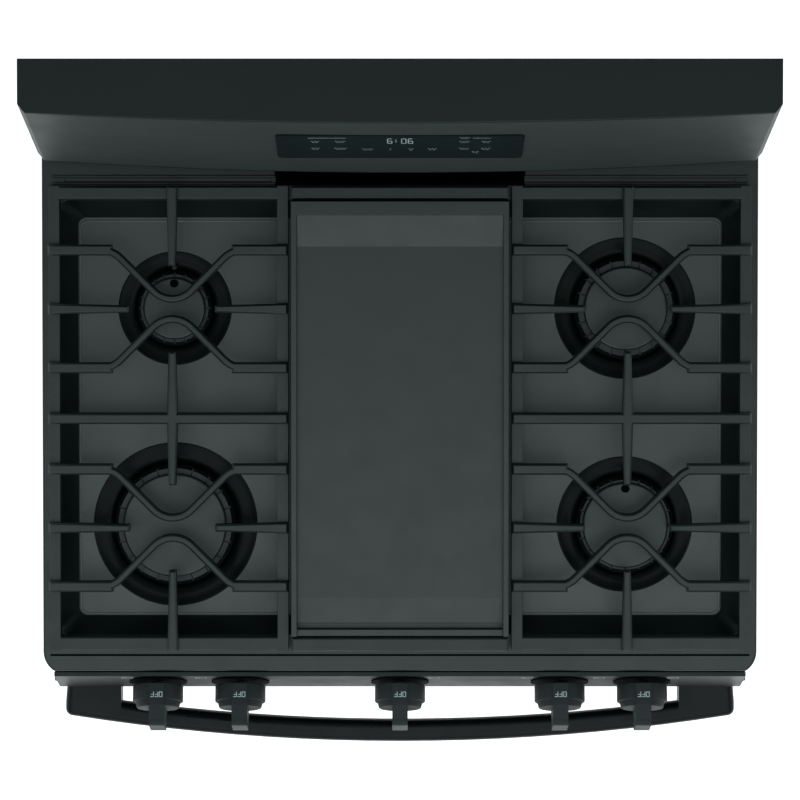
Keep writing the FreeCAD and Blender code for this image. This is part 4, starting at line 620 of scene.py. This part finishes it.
def make_legends():
    """A plain line over each group of touch keys, and two rows of short dashes for each key's label."""
    shapes = []
    for x, y, width in LEGENDS:
        if width > HEADING_WIDTH:
            shapes.append(pill(x, y, width, HEADING_LINE))
            continue
        for row, share in LEGEND_ROWS:
            count = max(1, round(width * share / DASH_PITCH))
            step = width * share / count
            for index in range(count):
                middle = x - width * share / 2 + step * (index + 0.5)
                shapes.append(pill(middle, y + row, step * DASH_SHARE, DASH_HEIGHT))
    slab("key_legends", shapes, glass_corner(), RIGHT, GLASS_UP, MARK_TOP,
         "control_glass", "cabinet", "ink")


# Knobs: their axes stand square to the leaning panel.
PANEL_LEAN = math.radians(15.6)
KNOB_OUT = Vector((0.0, -math.cos(PANEL_LEAN), math.sin(PANEL_LEAN)))
KNOB_UP = Vector((0.0, math.sin(PANEL_LEAN), math.cos(PANEL_LEAN)))
BEZEL_TO_KNOB = 3.0
RIDGE_TOP = 28.5
RIDGE_START = 2.0
RIDGE_RUN = 22.5
RIDGE_FALL = 1.0
RIDGE_SLOPE = math.atan2(RIDGE_FALL, RIDGE_RUN)
WORD_REACH = 15.0
WORD_LEFT = -6.0
LETTER_PITCH = 4.5
LETTER_WIDTH = 3.0
LETTER_HEIGHT = 5.0
LETTER_STROKE = 0.8
# The strokes of each letter, from (x, y) to (x, y) as shares of its width and height.
LETTERS = {
    "O": ((0, 0, 0, 1), (0, 1, 1, 1), (1, 1, 1, 0), (1, 0, 0, 0)),
    "F": ((0, 0, 0, 1), (0, 1, 1, 1), (0, 0.52, 0.8, 0.52)),
}


def stroke(x0, y0, x1, y1, width, steps=5):
    """The outline of a straight stroke with round ends."""
    ahead = Vector((x1 - x0, y1 - y0)).normalized()
    aside = Vector((-ahead.y, ahead.x))
    shape = []
    for x, y, way in ((x1, y1, 1), (x0, y0, -1)):
        for step in range(steps):
            angle = math.radians(-90 + 180 * step / (steps - 1))
            turn = ahead * math.cos(angle) + aside * math.sin(angle)
            spot = Vector((x, y)) + turn * (way * width / 2)
            shape.append((spot.x, spot.y))
    return shape


def make_knob_word(knob):
    """The plain word OFF on the ridge of a knob, the right way up for someone behind the range."""
    low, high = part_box("knob_" + knob)
    bezel_low, bezel_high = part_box("knob_bezels")
    bezel = (bezel_low + bezel_high) / 2
    bezel.x = (low.x + high.x) / 2
    ridge = RIDGE_TOP - (WORD_REACH - RIDGE_START) * RIDGE_FALL / RIDGE_RUN
    start = bezel + KNOB_UP * (ridge * MM) + KNOB_OUT * ((WORD_REACH + BEZEL_TO_KNOB) * MM)
    text_up = KNOB_OUT * math.cos(RIDGE_SLOPE) - KNOB_UP * math.sin(RIDGE_SLOPE)
    shapes = []
    for index, letter in enumerate("OFF"):
        left = WORD_LEFT + index * LETTER_PITCH
        for x0, y0, x1, y1 in LETTERS[letter]:
            shapes.append(stroke(left + x0 * LETTER_WIDTH, (y0 - 0.5) * LETTER_HEIGHT,
                                 left + x1 * LETTER_WIDTH, (y1 - 0.5) * LETTER_HEIGHT, LETTER_STROKE))
    # The letters take the display finish, whose glow here is painted light on print.
    slab("off_mark_" + knob, shapes, start, -RIGHT, text_up, BRIGHT_MARK_TOP,
         "knob_metal", "knob_" + knob, "display")


# Burner symbols: an outline with a spot in it, placed down from the panel's top edge.
SYMBOL_PLACES = (-292.0, -213.0, 36.0, 136.0, 213.0, 292.0)
PANEL_HEIGHT = 68.0
SYMBOL_MIDDLE = -11.0
SYMBOL_HALF_HEIGHT = 4.5
SYMBOL_HALF_WIDTH = 5.4
SYMBOL_WIDTH = 12.0
SYMBOL_SIDE_HEIGHT = 9.0
SYMBOL_LINE = 1.3
SPOT_X = -2.4
SPOT_SIZE = 3.2


def make_panel_marks():
    """A small plain symbol beside each knob: the outline of a cooktop with one burner filled in."""
    low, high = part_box("control_panel")
    top = Vector((0.0, low.y + PANEL_HEIGHT * MM * math.tan(PANEL_LEAN), high.z))
    shapes = []
    for x in SYMBOL_PLACES:
        for side in (1, -1):
            shapes.append(pill(x, SYMBOL_MIDDLE + side * SYMBOL_HALF_HEIGHT, SYMBOL_WIDTH, SYMBOL_LINE))
        for side in (-1, 1):
            shapes.append(pill(x + side * SYMBOL_HALF_WIDTH, SYMBOL_MIDDLE, SYMBOL_LINE, SYMBOL_SIDE_HEIGHT))
        shapes.append(pill(x + SPOT_X, SYMBOL_MIDDLE, SPOT_SIZE, SPOT_SIZE))
    slab("burner_symbols", shapes, top, RIGHT, KNOB_UP, MARK_TOP, "slate_metal", "cabinet", "ink")


# How far the well's floor lies in from the cooktop's sides, front and back: a shelf, then the slope.
WELL_SLOPE = 18.0
WELL_SIDE = 18.5 + WELL_SLOPE
WELL_FRONT = 39.0 + WELL_SLOPE
WELL_REAR = 137.0 + WELL_SLOPE
WELL_CORNER = 9.0
BEAD_INSET = 1.6
BEAD_HALF_WIDTH = 1.1
BEAD_HEIGHT = 0.9
BEAD_LIFT = 0.05


def rounded_loop(x0, y0, x1, y1, radius, steps=8):
    """Points and outward directions round a rectangle with round corners."""
    loop = []
    for x, y, start in ((x1 - radius, y0 + radius, -90), (x1 - radius, y1 - radius, 0),
                        (x0 + radius, y1 - radius, 90), (x0 + radius, y0 + radius, 180)):
        for step in range(steps + 1):
            angle = math.radians(start + 90 * step / steps)
            out = Vector((math.cos(angle), math.sin(angle), 0.0))
            loop.append((Vector((x, y, 0.0)) + out * radius, out))
    return loop


def make_floor_bead():
    """The fine raised line round the floor of the well, in a pale colour that is a painted highlight along
    the fillet where the floor meets the walls.
    """
    low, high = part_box("cooktop")
    side, front, rear = ((inset + BEAD_INSET) * MM for inset in (WELL_SIDE, WELL_FRONT, WELL_REAR))
    loop = rounded_loop(low.x + side, low.y + front, high.x - side, high.y - rear, WELL_CORNER * MM)
    section = []
    for degrees in range(0, 181, 30):
        angle = math.radians(degrees)
        section.append((BEAD_HALF_WIDTH * math.cos(angle), BEAD_HEIGHT * math.sin(angle)))
    floor = Vector((0.0, 0.0, WELL_LEVEL + BEAD_LIFT * MM))
    up = Vector((0.0, 0.0, 1.0))
    rings = [[spot + floor + (out * reach + up * lift) * MM for reach, lift in section] for spot, out in loop]
    piece_from("well_floor_bead", *stitched(rings), "slate_metal", "cabinet", "bead_metal")


SHADOW_LINE_WIDTH = 2.2
SHADOW_LINE_AHEAD = 7.0
SHADOW_LINE_PAST = 1.5


def make_lip_shadow_line():
    """A painted shadow: a thin black strip across the deck in front of the grates, for the shadow line under
    their front edge.
    """
    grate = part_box("grate_left")[0] / MM
    shape = pill(0.0, grate.y - SHADOW_LINE_AHEAD, 2 * (SHADOW_LINE_PAST - grate.x), SHADOW_LINE_WIDTH)
    slab("deck_shadow_line", [shape], Vector((0.0, 0.0, DECK_LEVEL)), RIGHT, BACK, MARK_TOP,
         "slate_metal", "cabinet", "painted_shade_black")


FLANGE_FRONT = 5.0
FLANGE_SIDE = 3.4
FLANGE_PAST = 2.0
FLANGE_AHEAD = 1.2
FLANGE_OFFSET = 0.1
FLANGE_TOP = 0.3


def make_flue_flange():
    """The black flange round the oven vent, which covers the gap between its duct and the deck; its
    near-black is also painted shade for the dark band in front of the vent.
    """
    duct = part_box("flue_duct")[1] / MM
    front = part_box("vent_trim")[0].y / MM - FLANGE_AHEAD
    shapes = [pill(0.0, front + FLANGE_FRONT / 2, 2 * (duct.x + FLANGE_PAST), FLANGE_FRONT)]
    for side in (-1, 1):
        x = side * (duct.x + FLANGE_OFFSET)
        shapes.append(pill(x, (front + duct.y) / 2, FLANGE_SIDE, duct.y - front))
    slab("flue_flange", shapes, Vector((0.0, 0.0, DECK_LEVEL)), RIGHT, BACK, FLANGE_TOP,
         "oven_enamel", "cabinet", "painted_shade_black")


make_floor_bead()
make_lip_shadow_line()
make_flue_flange()
for burner_name in BOWL_RADII:
    make_bowl(burner_name)
for burner_name in ("rear_left", "front_right"):
    make_igniter_mark(burner_name)
make_clock()
make_legends()
make_panel_marks()
for knob_name in KNOB_NAMES:
    make_knob_word(knob_name)


# ---------------------------------------------------------------------------------------------
# Stage, light and camera
# ---------------------------------------------------------------------------------------------

FLOOR_REACH = 14.0
FLOOR_DROP = 1.0


def make_floor():
    mesh = bpy.data.meshes.new("floor")
    plan = bmesh.new()
    bmesh.ops.create_grid(plan, x_segments=8, y_segments=8, size=FLOOR_REACH)
    plan.to_mesh(mesh)
    plan.free()
    floor = bpy.data.objects.new("floor", mesh)
    floor.location.z = -FLOOR_DROP * MM
    scene.collection.objects.link(floor)
    made = Finish("floor_white")
    made.clouded(0.6, (238, 238, 238), (243, 243, 243))
    made.set(Roughness=0.85, Specular_IOR_Level=0.1, Emission_Color=(1, 1, 1, 1), Emission_Strength=0.85)
    floor.data.materials.append(made.material)


SKY_COLOUR = (0.86, 1.0, 1.0, 1.0)
# The world's strength, from low down to overhead, and the heights between which it changes.
SKY_RANGE = {"From Min": 0.1, "From Max": 0.95, "To Min": 0.26, "To Max": 0.42}


def make_world():
    """A pale studio that is brightest overhead."""
    world = bpy.data.worlds.new("studio")
    world.use_nodes = True
    tree = world.node_tree
    where = tree.nodes.new("ShaderNodeTexCoord")
    apart = tree.nodes.new("ShaderNodeSeparateXYZ")
    ramp = tree.nodes.new("ShaderNodeMapRange")
    tree.links.new(where.outputs["Generated"], apart.inputs["Vector"])
    tree.links.new(apart.outputs["Z"], ramp.inputs["Value"])
    for socket, value in SKY_RANGE.items():
        ramp.inputs[socket].default_value = value
    tree.links.new(ramp.outputs["Result"], tree.nodes["Background"].inputs["Strength"])
    tree.nodes["Background"].inputs["Color"].default_value = SKY_COLOUR
    scene.world = world


LAMP_COLOUR = (0.88, 1.0, 1.0)
COOKTOP_MIDDLE = (0.0, 0.0, 0.9)
# Soft boxes: name, place, target, width and height, power.
LIGHTS = (
    ("key", (0.0, -1.2, 3.4), (0.0, -1.2, 0.9), (3.2, 2.4), 27.0),
    ("front", (0.0, -3.0, 2.9), COOKTOP_MIDDLE, (3.2, 0.5), 14.0),
    ("left", (-3.2, 0.0, 1.7), COOKTOP_MIDDLE, (2.4, 0.8), 9.0),
    ("right", (3.2, 0.0, 1.7), COOKTOP_MIDDLE, (2.4, 0.8), 9.0),
)


def make_light(name, place, target, size, power):
    data = bpy.data.lights.new(name, "AREA")
    data.shape = "RECTANGLE"
    data.size, data.size_y = size
    data.energy = power
    data.color = LAMP_COLOUR
    lamp = bpy.data.objects.new(name, data)
    scene.collection.objects.link(lamp)
    lamp.location = place
    lamp.rotation_euler = (Vector(target) - Vector(place)).to_track_quat("-Z", "Y").to_euler()
    lamp.visible_camera = False


CAMERA_PLACE = Vector((0.0, 0.1735, 4.915))
CAMERA_TARGET = Vector((0.0, 0.0145, 0.915))
SENSOR_WIDTH = 36.0
LENS = 169.8
VIEW_END = 60.0


def make_camera():
    data = bpy.data.cameras.new("camera")
    data.sensor_width = SENSOR_WIDTH
    data.lens = LENS
    data.clip_end = VIEW_END
    camera = bpy.data.objects.new("camera", data)
    scene.collection.objects.link(camera)
    back = (CAMERA_PLACE - CAMERA_TARGET).normalized()
    up = back.cross(RIGHT)
    turn = Matrix((RIGHT, up, back)).transposed().to_4x4()
    camera.matrix_world = Matrix.Translation(CAMERA_PLACE) @ turn
    scene.camera = camera


make_floor()
make_world()
for light in LIGHTS:
    make_light(*light)
make_camera()
scene.view_settings.view_transform = "Standard"
